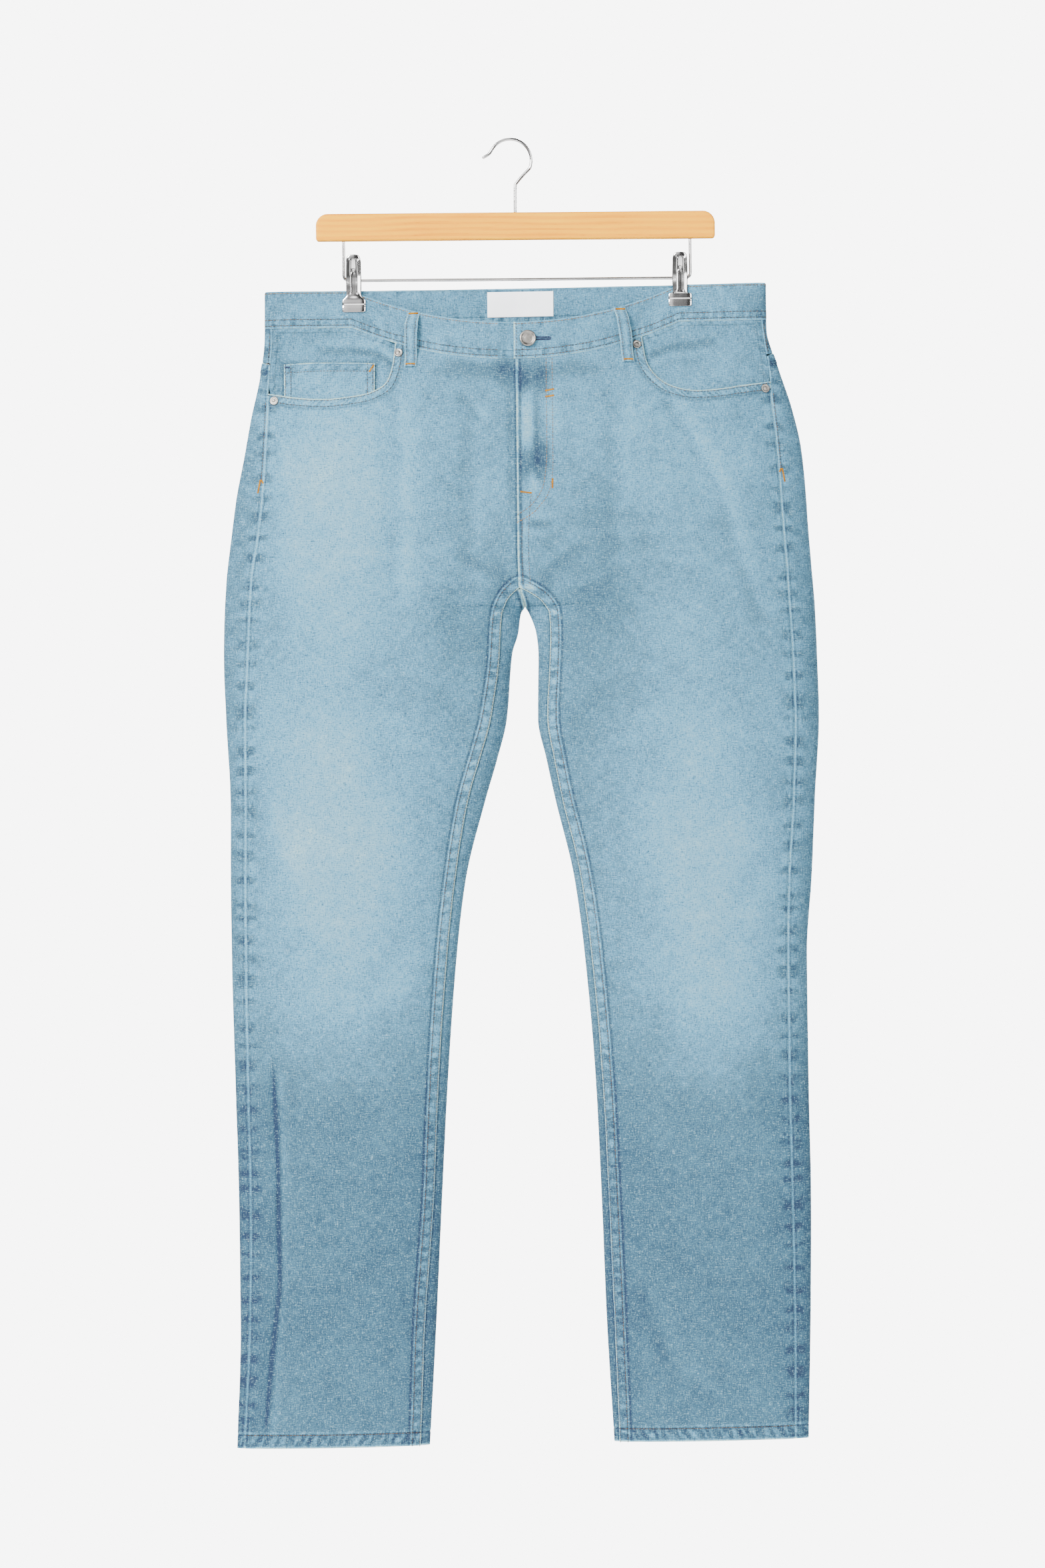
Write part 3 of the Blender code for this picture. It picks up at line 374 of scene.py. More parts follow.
def pressed(rows, face, x, drop, ridge=0.0):
    """How far the folds of a table press the cloth in at a point."""
    total = np.zeros(np.broadcast_shapes(np.shape(x), np.shape(drop)))
    for kind, x0, d0, x1, d1, half, depth in rows:
        length = math.hypot(x1 - x0, d1 - d0) / 1000
        ex, ed = (x1 - x0) / 1000 / length, (d1 - d0) / 1000 / length
        along = ((x - x0 / 1000) * ex + (drop - d0 / 1000) * ed) / length
        aside = ((x - x0 / 1000) * ed - (drop - d0 / 1000) * ex) / (half / 1000)
        fade = smooth_step(np.minimum(along + 0.15, 1.15 - along) / 0.4)
        shape = np.exp(-aside * aside) - ridge * np.exp(-((aside - 1.6) ** 2))
        total += np.where(face == kind, depth / 1000 * fade * shape, 0.0)
    return total


PINCH = 0.0028
CLIP_FLAT = 0.0170
SIDE_ROUND = 0.0072
SIDE_FOLD_REACH = 0.009
PINCH_END = 0.022
HIP_START = 0.125
HIP_REACH = 0.200


def waist_depth(face, side, x, drop):
    """The section at the waist: pressed flat under the clips, bowed open between them."""
    out, reach = np.abs(x), np.abs(outer_x(side, drop))
    bow = np.where(face < 0, 0.022, 0.004)
    near, far = CLIP_REACH - CLIP_FLAT, CLIP_REACH + CLIP_FLAT
    middle = PINCH + bow * np.maximum(0.0, np.cos(np.pi / 2 * np.minimum(out / near, 1.0))) ** 1.4
    opened = smooth_step((out - far) / (reach - far) / 0.7)
    end = (PINCH + (SIDE_ROUND - PINCH) * opened) * rounded(reach - out, SIDE_FOLD_REACH)
    return np.where(out <= far, middle, end)


def body_depth(face, side, x, drop):
    """The section of the hips and legs: a lens with a fold at each end, which closes over the crotch."""
    inner, outer = inner_x(side, drop), outer_x(side, drop)
    half_width = np.abs(outer - inner) / 2
    reach = HIP_REACH + (half_width - HIP_REACH) * smooth_step((drop - 0.20) / (CROTCH - 0.20))
    t = np.clip((drop - CROTCH_ROUND_START) / (CROTCH - CROTCH_ROUND_START), 0.0, 1.0)
    closing = np.where(drop < CROTCH, np.sqrt(1 - t * t), 0.0)
    inner_part = rounded(np.abs(x - inner), half_width)
    inner_part = inner_part + (1 - inner_part) * closing
    full = np.where(face < 0, LINES["front"](drop), LINES["back"](drop))
    return full * rounded(np.abs(outer - x), reach) * inner_part


def place(side, face, q, drop):
    """The plain outer surface at a share q across a half and at a drop."""
    side, face, q, drop = np.broadcast_arrays(*[np.asarray(v, dtype=float) for v in (side, face, q, drop)])
    inner, outer = inner_x(side, drop), outer_x(side, drop)
    x = inner + q * (outer - inner)
    settled = smooth_step((drop - PINCH_END) / (HIP_START - PINCH_END))
    depth = waist_depth(face, side, x, drop) * (1 - settled) + body_depth(face, side, x, drop) * settled
    edge = rounded(np.abs(outer - x), 0.04)
    edge = edge * np.where(drop > CROTCH, rounded(np.abs(x - inner), 0.03), 1.0)
    depth = depth - pressed(FOLDS, face, x, drop) * edge * np.minimum(1.0, depth / 0.006)
    return np.stack([GARMENT_X + x, face * depth, WAIST_Z + WAIST_LEAN * x - drop], axis=-1)


def normal(side, face, q, drop):
    """The plain surface's outward direction."""
    side, face, q, drop = np.broadcast_arrays(*[np.asarray(v, dtype=float) for v in (side, face, q, drop)])
    step_q = np.where(q < 0.5, 0.004, -0.004)
    step_d = np.where(drop < 0.6, 0.001, -0.001)
    here = place(side, face, q, drop)
    along_q = (place(side, face, q + step_q, drop) - here) / step_q[..., None] * side[..., None]
    along_d = (place(side, face, q, drop + step_d) - here) / step_d[..., None]
    found = np.cross(along_d, along_q) * -face[..., None]
    return found / np.maximum(np.linalg.norm(found, axis=-1), 1e-12)[..., None]


def unevenness(face, x, drop):
    """The slight rise and fall that no hanging cloth is free of."""
    wide = np.sin(61 * x + 23 * drop + face) * np.sin(41 * drop - 19 * x + 1)
    middling = np.sin(118 * x - 53 * drop + 2 * face) * np.sin(83 * drop + 31 * x + 1)
    narrow = np.sin(241 * x + 96 * drop) * np.sin(163 * drop - 77 * x + face)
    return 0.00042 * wide + 0.00026 * middling + 0.00010 * narrow


def held_flat(x, drop):
    """1 where the clips press the waist, 0 away from them."""
    out = np.abs(x)
    beside = smooth_step((out - 0.140) / 0.007) * (1 - smooth_step((out - 0.179) / 0.007))
    return beside * (1 - smooth_step((drop - 0.022) / 0.008))


def cloth_point(side, face, q, drop, out=0.0):
    """A point of the cloth with its creases, and `out` in front of them."""
    given = [np.asarray(v, dtype=float) for v in (side, face, q, drop, out)]
    side, face, q, drop, out = np.broadcast_arrays(*given)
    x = x_at(side, q, drop)
    ease = rounded(np.abs(outer_x(side, drop) - x), 0.02) * (1 - held_flat(x, drop))
    ease = ease * np.where(drop > CROTCH, rounded(np.abs(x - inner_x(side, drop)), 0.02), 1.0)
    lift = (unevenness(face, x, drop) - pressed(CREASES, face, x, drop, 0.45)) * ease + out
    return place(side, face, q, drop) + normal(side, face, q, drop) * lift[..., None]


# Where the cloth is paler or darker, in millimetres: the face, middle x and drop, half width and half height,
# and how much. Most pale patches are fades from the wash; the dark patches just under the front of the
# waistband and just to the wearer's right of the fly's edge are painted shadow.
FADES_AND_SHADOWS = (
    (FRONT, -185, 214, 80, 130, 0.52),
    (FRONT, -178, 590, 74, 165, 0.52),
    (FRONT, 176, 180, 70, 84, 0.16),
    (FRONT, 190, 640, 58, 170, 0.50),
    (FRONT, -205, 470, 60, 120, 0.22),
    (FRONT, 150, 470, 60, 130, 0.20),
    (FRONT, -40, 330, 46, 110, -0.26),
    (FRONT, 78, 390, 48, 120, -0.30),
    (FRONT, 84, 268, 60, 66, -0.26),
    (FRONT, -262, 225, 26, 100, -0.25),
    (FRONT, -20, 120, 60, 50, -0.10),
    (FRONT, 10, 136, 7.5, 28, 0.80),
    # This row and the next three: painted shadow under the waistband's lower edge.
    (FRONT, 8, 93, 7, 13, -1.15),
    (FRONT, -10, 86, 11, 15, -0.75),
    (FRONT, -48, 83, 44, 8, -0.30),
    (FRONT, 60, 84, 34, 8, -0.30),
    (FRONT, 19.5, 150, 3, 40, -0.55),
    # Painted shadow under the waistband's lower edge.
    (FRONT, 24, 92, 9, 15, -0.85),
    (FRONT, 24, 174, 8, 20, -0.95),
    (FRONT, 9, 176, 8, 14, -0.80),
    (FRONT, 16.5, 198, 4, 9, 0.50),
    (FRONT, 37, 130, 8, 34, 0.32),
    (FRONT, 22, 238, 11, 4, -0.50),
    (FRONT, 22, 229, 10, 4, 0.40),
    (FRONT, 18, 246, 10, 4, 0.30),
    # Painted shadow on the wearer's right of the fly's raised edge.
    (FRONT, -6, 170, 4, 80, -0.32),
    (FRONT, 8, 262, 6, 30, 0.22),
    (FRONT, 8, 299, 7, 5, 0.70),
    (FRONT, -14, 300, 10, 14, -0.40),
    (FRONT, 27, 300, 10, 14, -0.40),
    (FRONT, -100, 262, 60, 5, 0.16),
    (FRONT, -92, 292, 52, 4, 0.14),
    (FRONT, 112, 246, 56, 5, 0.16),
    (FRONT, 120, 274, 58, 4, 0.14),
    (BACK, -130, 215, 70, 85, 0.45),
    (BACK, 128, 210, 70, 85, 0.45),
    (BACK, -160, 520, 60, 150, 0.30),
    (BACK, 165, 530, 60, 150, 0.30),
    (BACK, -60, 360, 50, 50, -0.22),
    (BACK, 60, 366, 50, 50, -0.22),
    (BACK, -180, 700, 70, 20, 0.12),
    (BACK, 175, 690, 70, 20, 0.12),
)


# How pale the cloth is at each drop before that.
WASH_BY_DROP = (
    (0.0, 0.05, 0.25, 0.45, 0.71, 0.83, 1.0, 1.15),
    (0.36, 0.34, 0.34, 0.30, 0.25, -0.22, -0.34, -0.20),
)


def washed_and_shaded(side, face, x, drop):
    """How pale the cloth is: 0 the shin's blue, 1 the palest of the thigh. It is darker near the legs' folds,
    and holds painted shadow, painted shade in the creases' troughs and a painted highlight on their ridges.
    """
    level = np.interp(drop, *WASH_BY_DROP)
    outer_rim, inner_rim = np.abs(outer_x(side, drop) - x), np.abs(x - inner_x(side, drop))
    level = level - 0.26 * hump(outer_rim, 0, 0.026)
    level = level - 0.24 * hump(inner_rim, 0, 0.026) * smooth_step((drop - CROTCH) / 0.09)
    for kind, cx, cd, rx, rd, amount in FADES_AND_SHADOWS:
        away = ((x - cx / 1000) / (rx / 1000)) ** 2 + ((drop - cd / 1000) / (rd / 1000)) ** 2
        level = level + np.where(face == kind, amount * np.exp(-(away**1.35)), 0.0)
    # Painted shade in each crease's trough, and a painted highlight on the low ridge beside it.
    return level - 240 * pressed(CREASES, face, x, drop, 0.9)


def waist_top(face, x):
    """The drop of the waistband's top edge: the front sags between the clips, the back hangs level."""
    sag = WAIST_DIP * (1 - (np.asarray(x) / CLIP_REACH) ** 2)
    return np.where((np.asarray(face) < 0) & (np.abs(x) < CLIP_REACH), sag, 0.0)


def waist_seam(face, x):
    """The drop of the seam under the waistband."""
    return waist_top(face, x) + WAISTBAND_HEIGHT


def spread(start, end, count):
    """`count` + 1 even values from start to end."""
    return np.linspace(start, end, count + 1)


def lengths_along(points):
    """How far along its line each point lies."""
    return np.concatenate([[0.0], np.cumsum(np.linalg.norm(np.diff(points, axis=0), axis=1))])


def directions(points):
    """Which way a line runs at each of its points."""
    runs = np.gradient(points, axis=0)
    return runs / np.linalg.norm(runs, axis=1)[:, None]


def smooth_line(points, spacing=None, count=None):
    """Points at even spacing along a smooth line through the given ones."""
    given = np.array(points, dtype=float)
    padded = np.vstack([2 * given[0] - given[1], given, 2 * given[-1] - given[-2]])
    t = spread(0, 1, 16)[:-1, None]
    dense = []
    for a, b, c, d in zip(padded, padded[1:], padded[2:], padded[3:]):
        bend, twist = 2 * a - 5 * b + 4 * c - d, 3 * b - a - 3 * c + d
        dense.append(0.5 * (2 * b + (c - a) * t + bend * t**2 + twist * t**3))
    dense = np.vstack(dense + [given[-1:]])
    lengths = lengths_along(dense)
    if count is None:
        count = max(1, round(lengths[-1] / spacing))
    wanted = spread(0.0, lengths[-1], count)
    return np.stack([np.interp(wanted, lengths, dense[:, i]) for i in range(given.shape[1])], axis=-1)


# A distance that means nowhere near.
FAR_OFF = 9.0


def distance_to(x, drop, line):
    """How far points lie from a line of (x, drop) points."""
    found = np.full(np.shape(x), FAR_OFF)
    for (ax, ad), (bx, bd) in zip(line, line[1:]):
        ex, ed = bx - ax, bd - ad
        t = np.clip(((x - ax) * ex + (drop - ad) * ed) / max(ex * ex + ed * ed, 1e-12), 0.0, 1.0)
        found = np.minimum(found, np.hypot(x - ax - t * ex, drop - ad - t * ed))
    return found


def bare(mesh):
    """Takes away the flat measures that a primitive comes with."""
    while mesh.uv_layers:
        mesh.uv_layers.remove(mesh.uv_layers[0])
    return mesh


def grid_piece(name, points, outward, flat_x, flat_y, **measures):
    """A grid laid through rows of points and faced outward, with its flat measure as a UV map and what is
    measured on it, such as the distance to a seam, as attributes."""
    rows, columns = points.shape[:2]
    bpy.ops.object.select_all(action="DESELECT")
    bpy.ops.mesh.primitive_grid_add(x_subdivisions=columns - 1, y_subdivisions=rows - 1, size=2)
    piece = bpy.context.object
    piece.name = name
    mesh = piece.data
    mesh.name = name
    given = np.empty(len(mesh.vertices) * 3)
    mesh.vertices.foreach_get("co", given)
    given = given.reshape(-1, 3)
    order = np.lexsort((given[:, 0].round(5), given[:, 1].round(5)))
    moved = np.empty_like(given)
    moved[order] = points.reshape(-1, 3)
    mesh.vertices.foreach_set("co", moved.ravel())
    flat = np.empty((len(given), 2))
    flat[order, 0] = np.broadcast_to(flat_x, (rows, columns)).ravel()
    flat[order, 1] = np.broadcast_to(flat_y, (rows, columns)).ravel()
    corners = np.empty(len(mesh.loops), dtype=np.int64)
    mesh.loops.foreach_get("vertex_index", corners)
    bare(mesh).uv_layers.new(name="flat").data.foreach_set("uv", flat[corners].ravel())
    for measure, values in measures.items():
        kept = np.empty(len(given))
        kept[order] = np.clip(np.broadcast_to(values, (rows, columns)), -FAR_OFF, FAR_OFF).ravel()
        mesh.attributes.new(measure, "FLOAT", "POINT").data.foreach_set("value", kept)
    r, c = rows // 2, columns // 2
    facing = np.cross(points[r, c + 1] - points[r, c], points[r + 1, c] - points[r, c])
    if facing @ outward[r, c] < 0:
        mesh.flip_normals()
    mesh.update()
    return piece


def select_only(piece):
    """Makes a piece the one that operators work on."""
    bpy.ops.object.select_all(action="DESELECT")
    bpy.context.view_layer.objects.active = piece
    piece.select_set(True)


def smoothed(piece, angle):
    """Smooths a piece's shading, except over edges sharper than an angle in degrees, and fixes the piece to
    the model."""
    select_only(piece)
    bpy.ops.object.shade_smooth_by_angle(angle=math.radians(angle))
    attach(piece, "root")


def apply_modifier(piece, kind, **settings):
    """Adds a modifier to a piece and applies it."""
    select_only(piece)
    made = piece.modifiers.new(kind.lower(), kind)
    for key, value in settings.items():
        setattr(made, key, value)
    bpy.ops.object.modifier_apply(modifier=made.name)


def finish_sheet(piece, wall, finishes, eased=0.0, angle=40.0, hem=False, inward=True):
    """Gives an open sheet its finishes and its wall, thicker where the hem is folded, eases the wall's edges
    and smooths the shading."""
    for finish in finishes:
        piece.data.materials.append(finish)
    settings = {"thickness": wall, "offset": -1 if inward else 1, "material_offset": int(len(finishes) > 1)}
    if hem:
        group = piece.vertex_groups.new(name="wall")
        hem_z = WAIST_Z - HEM + HEM_FOLD
        for vertex in piece.data.vertices:
            folded = vertex.co.z - WAIST_LEAN * vertex.co.x < hem_z
            group.add([vertex.index], 1.0 if folded else wall / HEM_WALL, "REPLACE")
        settings.update(thickness=HEM_WALL, vertex_group="wall")
    apply_modifier(piece, "SOLIDIFY", **settings)
    if eased:
        bend = math.radians(60)
        apply_modifier(piece, "BEVEL", width=eased, segments=2, limit_method="ANGLE", angle_limit=bend)
    smoothed(piece, angle)


class Reading:
    """A number that changes over a surface, so that a finish can be worked out as plain arithmetic."""

    def __init__(self, finish, socket):
        self.finish = finish
        self.socket = socket

    def maths(self, operation, *others):
        return self.finish.node("ShaderNodeMath", {"operation": operation}, dict(enumerate((self, *others))))

    def __add__(self, other):
        return self.maths("ADD", other)

    def __sub__(self, other):
        return self.maths("SUBTRACT", other)

    def __rsub__(self, other):
        return (self * -1).maths("ADD", other)

    def __mul__(self, other):
        return self.maths("MULTIPLY", other)

    def __truediv__(self, other):
        return self.maths("DIVIDE", other)

    __radd__ = __add__
    __rmul__ = __mul__

    def sine(self):
        return self.maths("SINE")

    def bell(self, centre, width):
        """1 at a value, falling away over a width on both sides."""
        off = (self - centre) / width
        return (off * off * -1).maths("EXPONENT")

    def rise(self, start, end):
        """0 up to start, 1 from end on, smooth between."""
        settings = {"interpolation_type": "SMOOTHSTEP"}
        inputs = {"Value": self, "From Min": start, "From Max": end, "To Min": 0.0, "To Max": 1.0}
        return self.finish.node("ShaderNodeMapRange", settings, inputs)


class Finish:
    """A material being mixed: its nodes, and the shader that they feed."""

    def __init__(self, name, **constants):
        self.material = bpy.data.materials.new(name)
        self.material.use_nodes = True
        self.tree = self.material.node_tree
        self.shader = self.tree.nodes["Principled BSDF"]
        for socket, value in constants.items():
            self.shader.inputs[socket.replace("_", " ")].default_value = value

    def join(self, value, socket):
        """Feeds a socket with a reading, a number or a colour."""
        if isinstance(value, Reading):
            self.tree.links.new(value.socket, socket)
        elif hasattr(value, "__len__") and len(value) == 3 and socket.type == "RGBA":
            socket.default_value = (*value, 1.0)
        else:
            socket.default_value = value

    def node(self, kind, settings=None, inputs=None, output=0):
        """Adds any node: its settings first, then what feeds its sockets."""
        made = self.tree.nodes.new(kind)
        for key, value in (settings or {}).items():
            if key == "stops":
                ramp = made.color_ramp
                while len(ramp.elements) < len(value):
                    ramp.elements.new(1.0)
                for stop, (at, colour) in zip(ramp.elements, value):
                    stop.position = at
                    stop.color = (*colour, 1.0)
            else:
                setattr(made, key, value)
        for key, value in (inputs or {}).items():
            self.join(value, made.inputs[key])
        return Reading(self, made.outputs[output])

    def noise(self, where, scale, detail=2.0, roughness=0.55):
        """Soft cloudy noise from -0.5 to 0.5."""
        inputs = {"Vector": where, "Scale": scale, "Detail": detail, "Roughness": roughness}
        return self.node("ShaderNodeTexNoise", None, inputs) - 0.5

    def at(self, x, y, z=0.0):
        """A place put together from numbers."""
        return self.node("ShaderNodeCombineXYZ", None, {"X": x, "Y": y, "Z": z})

    def parts(self, where):
        """The X, Y and Z of a place."""
        split = self.node("ShaderNodeSeparateXYZ", None, {0: where})
        return [Reading(self, socket) for socket in split.socket.node.outputs]

    def laid_flat(self):
        """The cloth's flat measure, as a place."""
        return self.node("ShaderNodeUVMap", {"uv_map": "flat"})

    def in_piece(self):
        """The place in the piece's own axes."""
        return self.node("ShaderNodeTexCoord", None, None, "Object")

    def measure(self, name):
        """What was measured on the mesh under a name."""
        return self.node("ShaderNodeAttribute", {"attribute_name": name}, None, "Fac")

    def colours(self, level, stops, low, high):
        """A colour for each level, from (level, colour) stops."""
        inputs = {"Value": level, "From Min": low, "From Max": high, "To Min": 0.0, "To Max": 1.0}
        share = self.node("ShaderNodeMapRange", None, inputs)
        placed = [((at - low) / (high - low), colour) for at, colour in stops]
        return self.node("ShaderNodeValToRGB", {"stops": placed}, {"Fac": share})

    def between(self, level, dark, light):
        """From one colour at 0 to another at 1."""
        return self.colours(level, ((0.0, dark), (1.0, light)), 0.0, 1.0)

    def blend(self, share, under, over):
        """One colour over another by a share."""
        return self.node("ShaderNodeMix", {"data_type": "RGBA"}, {0: share, 6: under, 7: over}, 2)

    def paint(self, **sockets):
        """Feeds the shader's own sockets."""
        for socket, value in sockets.items():
            self.join(value, self.shader.inputs[socket.replace("_", " ")])

    def raised(self, height):
        """Turns a height in metres into the shader's bump."""
        measures = {"Height": height, "Strength": 1.0, "Distance": 1.0}
        self.paint(Normal=self.node("ShaderNodeBump", None, measures))


# The blue of the worn cloth at each level of its tone, which holds the wash and the painted shade and
# highlights laid on it, from the darkest crook of a pucker to a rubbed edge.
BLUES = (
    (-1.0, (0.014, 0.028, 0.058)),
    (-0.5, (0.026, 0.066, 0.102)),
    (0.0, (0.044, 0.114, 0.166)),
    (0.35, (0.063, 0.172, 0.258)),
    (0.6, (0.081, 0.225, 0.328)),
    (1.0, (0.128, 0.272, 0.352)),
    (1.6, (0.300, 0.440, 0.410)),
)
# The two yarns as they show in single flecks: the bare weft and the warp where no dye was lost.
WEFT_FLECK = (0.205, 0.335, 0.385)
WARP_FLECK = (0.014, 0.036, 0.075)


class Denim(Finish):
    """Washed twill: pale weft under blue warp, with the puckers and rubbed edges of its seams."""

    def __init__(self, name):
        super().__init__(name, Roughness=0.95, Specular_IOR_Level=0.12)
        flat = self.laid_flat()
        self.u, self.v, _ = self.parts(flat)
        slub = self.noise(self.at(self.u * 1000, self.v * 150), 1.0, 2.0)
        weft = self.noise(self.at(self.u * 170, self.v * 1000), 1.0, 1.0)
        heather = self.noise(flat, 680.0, 3.0, 0.7)
        mottle = self.noise(flat, 85.0, 3.0, 0.6)
        cloud = self.noise(flat, 19.0, 2.0, 0.5)
        twill = (self.u * 5200 + self.v * 4300 + mottle * 9).sine()
        tone = slub * 0.7 + weft * 0.5 + heather * 1.1 + mottle * 0.85 + cloud * 0.6
        self.tone = self.measure("wash") + tone + twill * 0.06
        self.fleck = heather * 1.7 + slub * 1.1 + weft * 0.9
        self.height = heather * 0.00050 + slub * 0.00030 + twill * 0.00005
        self.rubbed = mottle * 1.8 + heather * 0.8 + 1.0

    def puckered(self, away, along, pitch, reach, strength=1.0, slant=0.0):
        """A sewn edge that shrank on its thread: dark hollows and pale humps by turns up to the stitching,
        and a rubbed edge."""
        drift = self.noise(self.at(along * 60, 0.0), 1.0, 2.0) * 15
        drift = drift + self.noise(self.at(along * 90, away * 160), 1.0) * 5
        wave = (along * (2 * math.pi / pitch) + away * (slant * 2 * math.pi / pitch) + drift).sine()
        wave = wave.rise(-0.75, 0.95) * 2 - 1
        uneven = self.noise(self.at(along * 45, 7.0), 1.0, 1.0) * 2.2 + 0.9
        belt = (1 - away.rise(reach * 0.70, reach * 1.30)) * away.rise(0.0, reach * 0.50)
        wave = wave + self.noise(self.at(along * 240, away * 240), 1.0, 2.0, 0.6) * 2.4
        self.tone = self.tone + wave * belt * uneven * (0.42 * strength)
        self.tone = self.tone + away.bell(0.0004, 0.0013) * strength
        self.height = self.height + wave * belt * uneven * (0.00042 * strength)
        self.height = self.height + away.bell(0.0012, 0.0011) * 0.00022

    def blotched(self, away, along, pitch, reach, strength=1.0):
        """A plain seam pressed open: a rubbed line on it, and dark blotches where it lies loose beside."""
        drift = self.noise(self.at(along * 35, self.u * 6), 1.0, 2.0) * 9
        ragged = self.noise(self.at(along * 170, away * 170, self.u * 9), 1.0, 2.0, 0.6)
        patch = (along * (2 * math.pi / pitch) + drift).sine() + ragged * 5
        near = 1 - away.rise(reach * 0.5, reach * 1.6)
        spots = patch.rise(-0.5, 1.7) * 0.85 - 0.16
        self.tone = self.tone - spots * near * away.rise(0.0006, 0.0022) * strength
        self.tone = self.tone + away.bell(0.0, 0.0010) * (0.8 * strength)
        self.height = self.height + away.bell(0.0018, 0.0012) * 0.00025 - spots * near * 0.0006

    def line(self, away, at, width, tone, height=0.0):
        """A narrow line at a distance from an edge, paler or darker, raised or sunk."""
        self.tone = self.tone + away.bell(at, width) * self.rubbed * tone
        if height:
            self.height = self.height + away.bell(at, width) * height

    def done(self):
        """Joins the level and the height to the shader and gives the material."""
        worn = self.colours(self.tone, BLUES, -1.0, 1.6)
        worn = self.blend(self.fleck.rise(0.0, 0.75) * 0.85, worn, WEFT_FLECK)
        worn = self.blend((0 - self.fleck).rise(0.0, 0.70) * 0.9, worn, WARP_FLECK)
        self.paint(Base_Color=worn)
        self.raised(self.height)
        return self.material


leg_denim = Denim("leg_denim")
side_away = leg_denim.measure("outer")
inner_away = leg_denim.measure("inner")
hem_away = leg_denim.measure("foot")
top_away = leg_denim.measure("top")
fly_away = leg_denim.measure("centre")
leg_denim.blotched(side_away, leg_denim.v, 0.021, 0.009)
leg_denim.puckered(inner_away, leg_denim.v, 0.0132, 0.0088, 0.95)
leg_denim.puckered(hem_away, leg_denim.u, 0.0105, 0.0125, 1.1, 0.55)
leg_denim.puckered(top_away, leg_denim.u + leg_denim.v, 0.0064, 0.0078, 0.60)
# Each line on the legs: the seam it runs beside, how far off, its width, its tone and its height. The dark
# lines are painted shade along the rows of stitches, and painted shadow at the foot of a raised seam edge or
# beside the fly's edge.
LEG_LINES = (
    # Painted shade along the side seam's row of stitches.
    (side_away, 0.0024, 0.0007, -0.40, -0.0002),
    (inner_away, 0.0050, 0.0032, 0.30, 0.0),
    # Painted shadow at the foot of the felled inseam's raised edge.
    (inner_away, 0.0120, 0.0012, -0.80, -0.0003),
    (hem_away, 0.0152, 0.0014, 0.45, 0.0003),
    (hem_away, 0.0006, 0.0010, 0.50, 0.0),
    (top_away, 0.0006, 0.0013, 0.70, 0.0),
    (inner_away, 0.0005, 0.0013, 0.75, 0.0),
    (inner_away, 0.0100, 0.0009, 0.55, 0.0),
    # Painted shadow at the foot of the raised edge along the pocket's mouth and the yoke's seam.
    (top_away, 0.0100, 0.0016, -0.45, -0.0002),
    (fly_away, 0.0010, 0.0013, 1.20, 0.0),
    # Painted shadow beside the fly's raised edge.
    (fly_away, 0.0038, 0.0014, -0.90, 0.0),
    # These five: painted shade along the rows of stitches at the mouth, the inseam and the hem.
    (top_away, 0.0019, 0.0006, -0.60, -0.0002),
    (top_away, 0.0078, 0.0006, -0.60, -0.0002),
    (inner_away, 0.0016, 0.0006, -0.60, -0.0002),
    (inner_away, 0.0088, 0.0006, -0.60, -0.0002),
    (hem_away, 0.0130, 0.0007, -0.60, -0.0003),
)
for leg_row in LEG_LINES:
    leg_denim.line(*leg_row)
# The hard crease down the right shin: painted shade in its trough and spreading to one side, and a painted
# highlight on its other side.
crease_away = leg_denim.measure("crease")
sharp = leg_denim.measure("crease_share")
for at, width, tone in ((0.0, 0.0013, -1.1), (0.0025, 0.005, -0.25), (-0.0035, 0.0025, 0.22)):
    leg_denim.tone = leg_denim.tone + crease_away.bell(at, width) * sharp * tone
LEG_DENIM = leg_denim.done()


def inner_side(name):
    """The wrong side of the twill, where the pale weft shows."""
    made = Finish(name, Roughness=0.95, Specular_IOR_Level=0.2)
    flat = made.laid_flat()
    speck = made.noise(flat, 700.0, 3.0, 0.7)
    cloud = made.noise(flat, 60.0, 2.0)
    level = speck * 1.3 + cloud * 0.5 + 0.5
    made.paint(Base_Color=made.between(level, (0.12, 0.20, 0.28), (0.34, 0.44, 0.50)))
    made.raised(speck * 0.0003)
    return made.material


INSIDE_DENIM = inner_side("denim_wrong_side")

# The pocket mouths' edges, from the waistband down and round to the side seam, in millimetres out and down.
SCOOPS = {
    RIGHT: (
        (120, 50), (122, 70), (125, 84), (131, 95.5), (146, 103.5),
        (164, 107), (190, 109), (217, 107), (246, 102),
    ),
    LEFT: (
        (126, 50), (128, 66), (131.5, 80), (141, 93), (155, 102),
        (176, 107), (202, 106), (222, 103), (252, 99),
    ),
}
WAIST_KNOTS = 6
WAIST_STEPS = 42
SCOOP_STEPS = 56


def scoop_line(side, count):
    """The pocket's mouth as (distance out, drop), with its first point on the waist seam."""
    points = np.array(SCOOPS[side]) / 1000
    points[0, 1] = waist_seam(FRONT, points[0, 0])
    return smooth_line(points, count=count)


def closer_at_ends(c):
    """An even share moved so that columns lie closer together at a panel's seams."""
    return 0.2 * c + 0.8 * (1 - np.cos(np.pi * c)) / 2


def leg_drops(start):
    """The drops of the rows down a leg: close at the crotch and the hem."""
    parts = (
        np.arange(start, 0.2985, 0.0032),
        np.arange(0.2985, 0.332, 0.0014),
        np.arange(0.332, 0.480, 0.0029),
        np.arange(0.480, HEM - 0.020, 0.0038),
        np.arange(HEM - 0.020, HEM - 0.0006, 0.0011),
        [HEM],
    )
    return np.unique(np.concatenate(parts))


def centre_seam():
    """The centre seam from the waist to the crotch, as (x, drop) points."""
    drops = spread(0.06, CROTCH, 40)
    return np.stack([LINES["centre"](drops), drops], axis=-1)


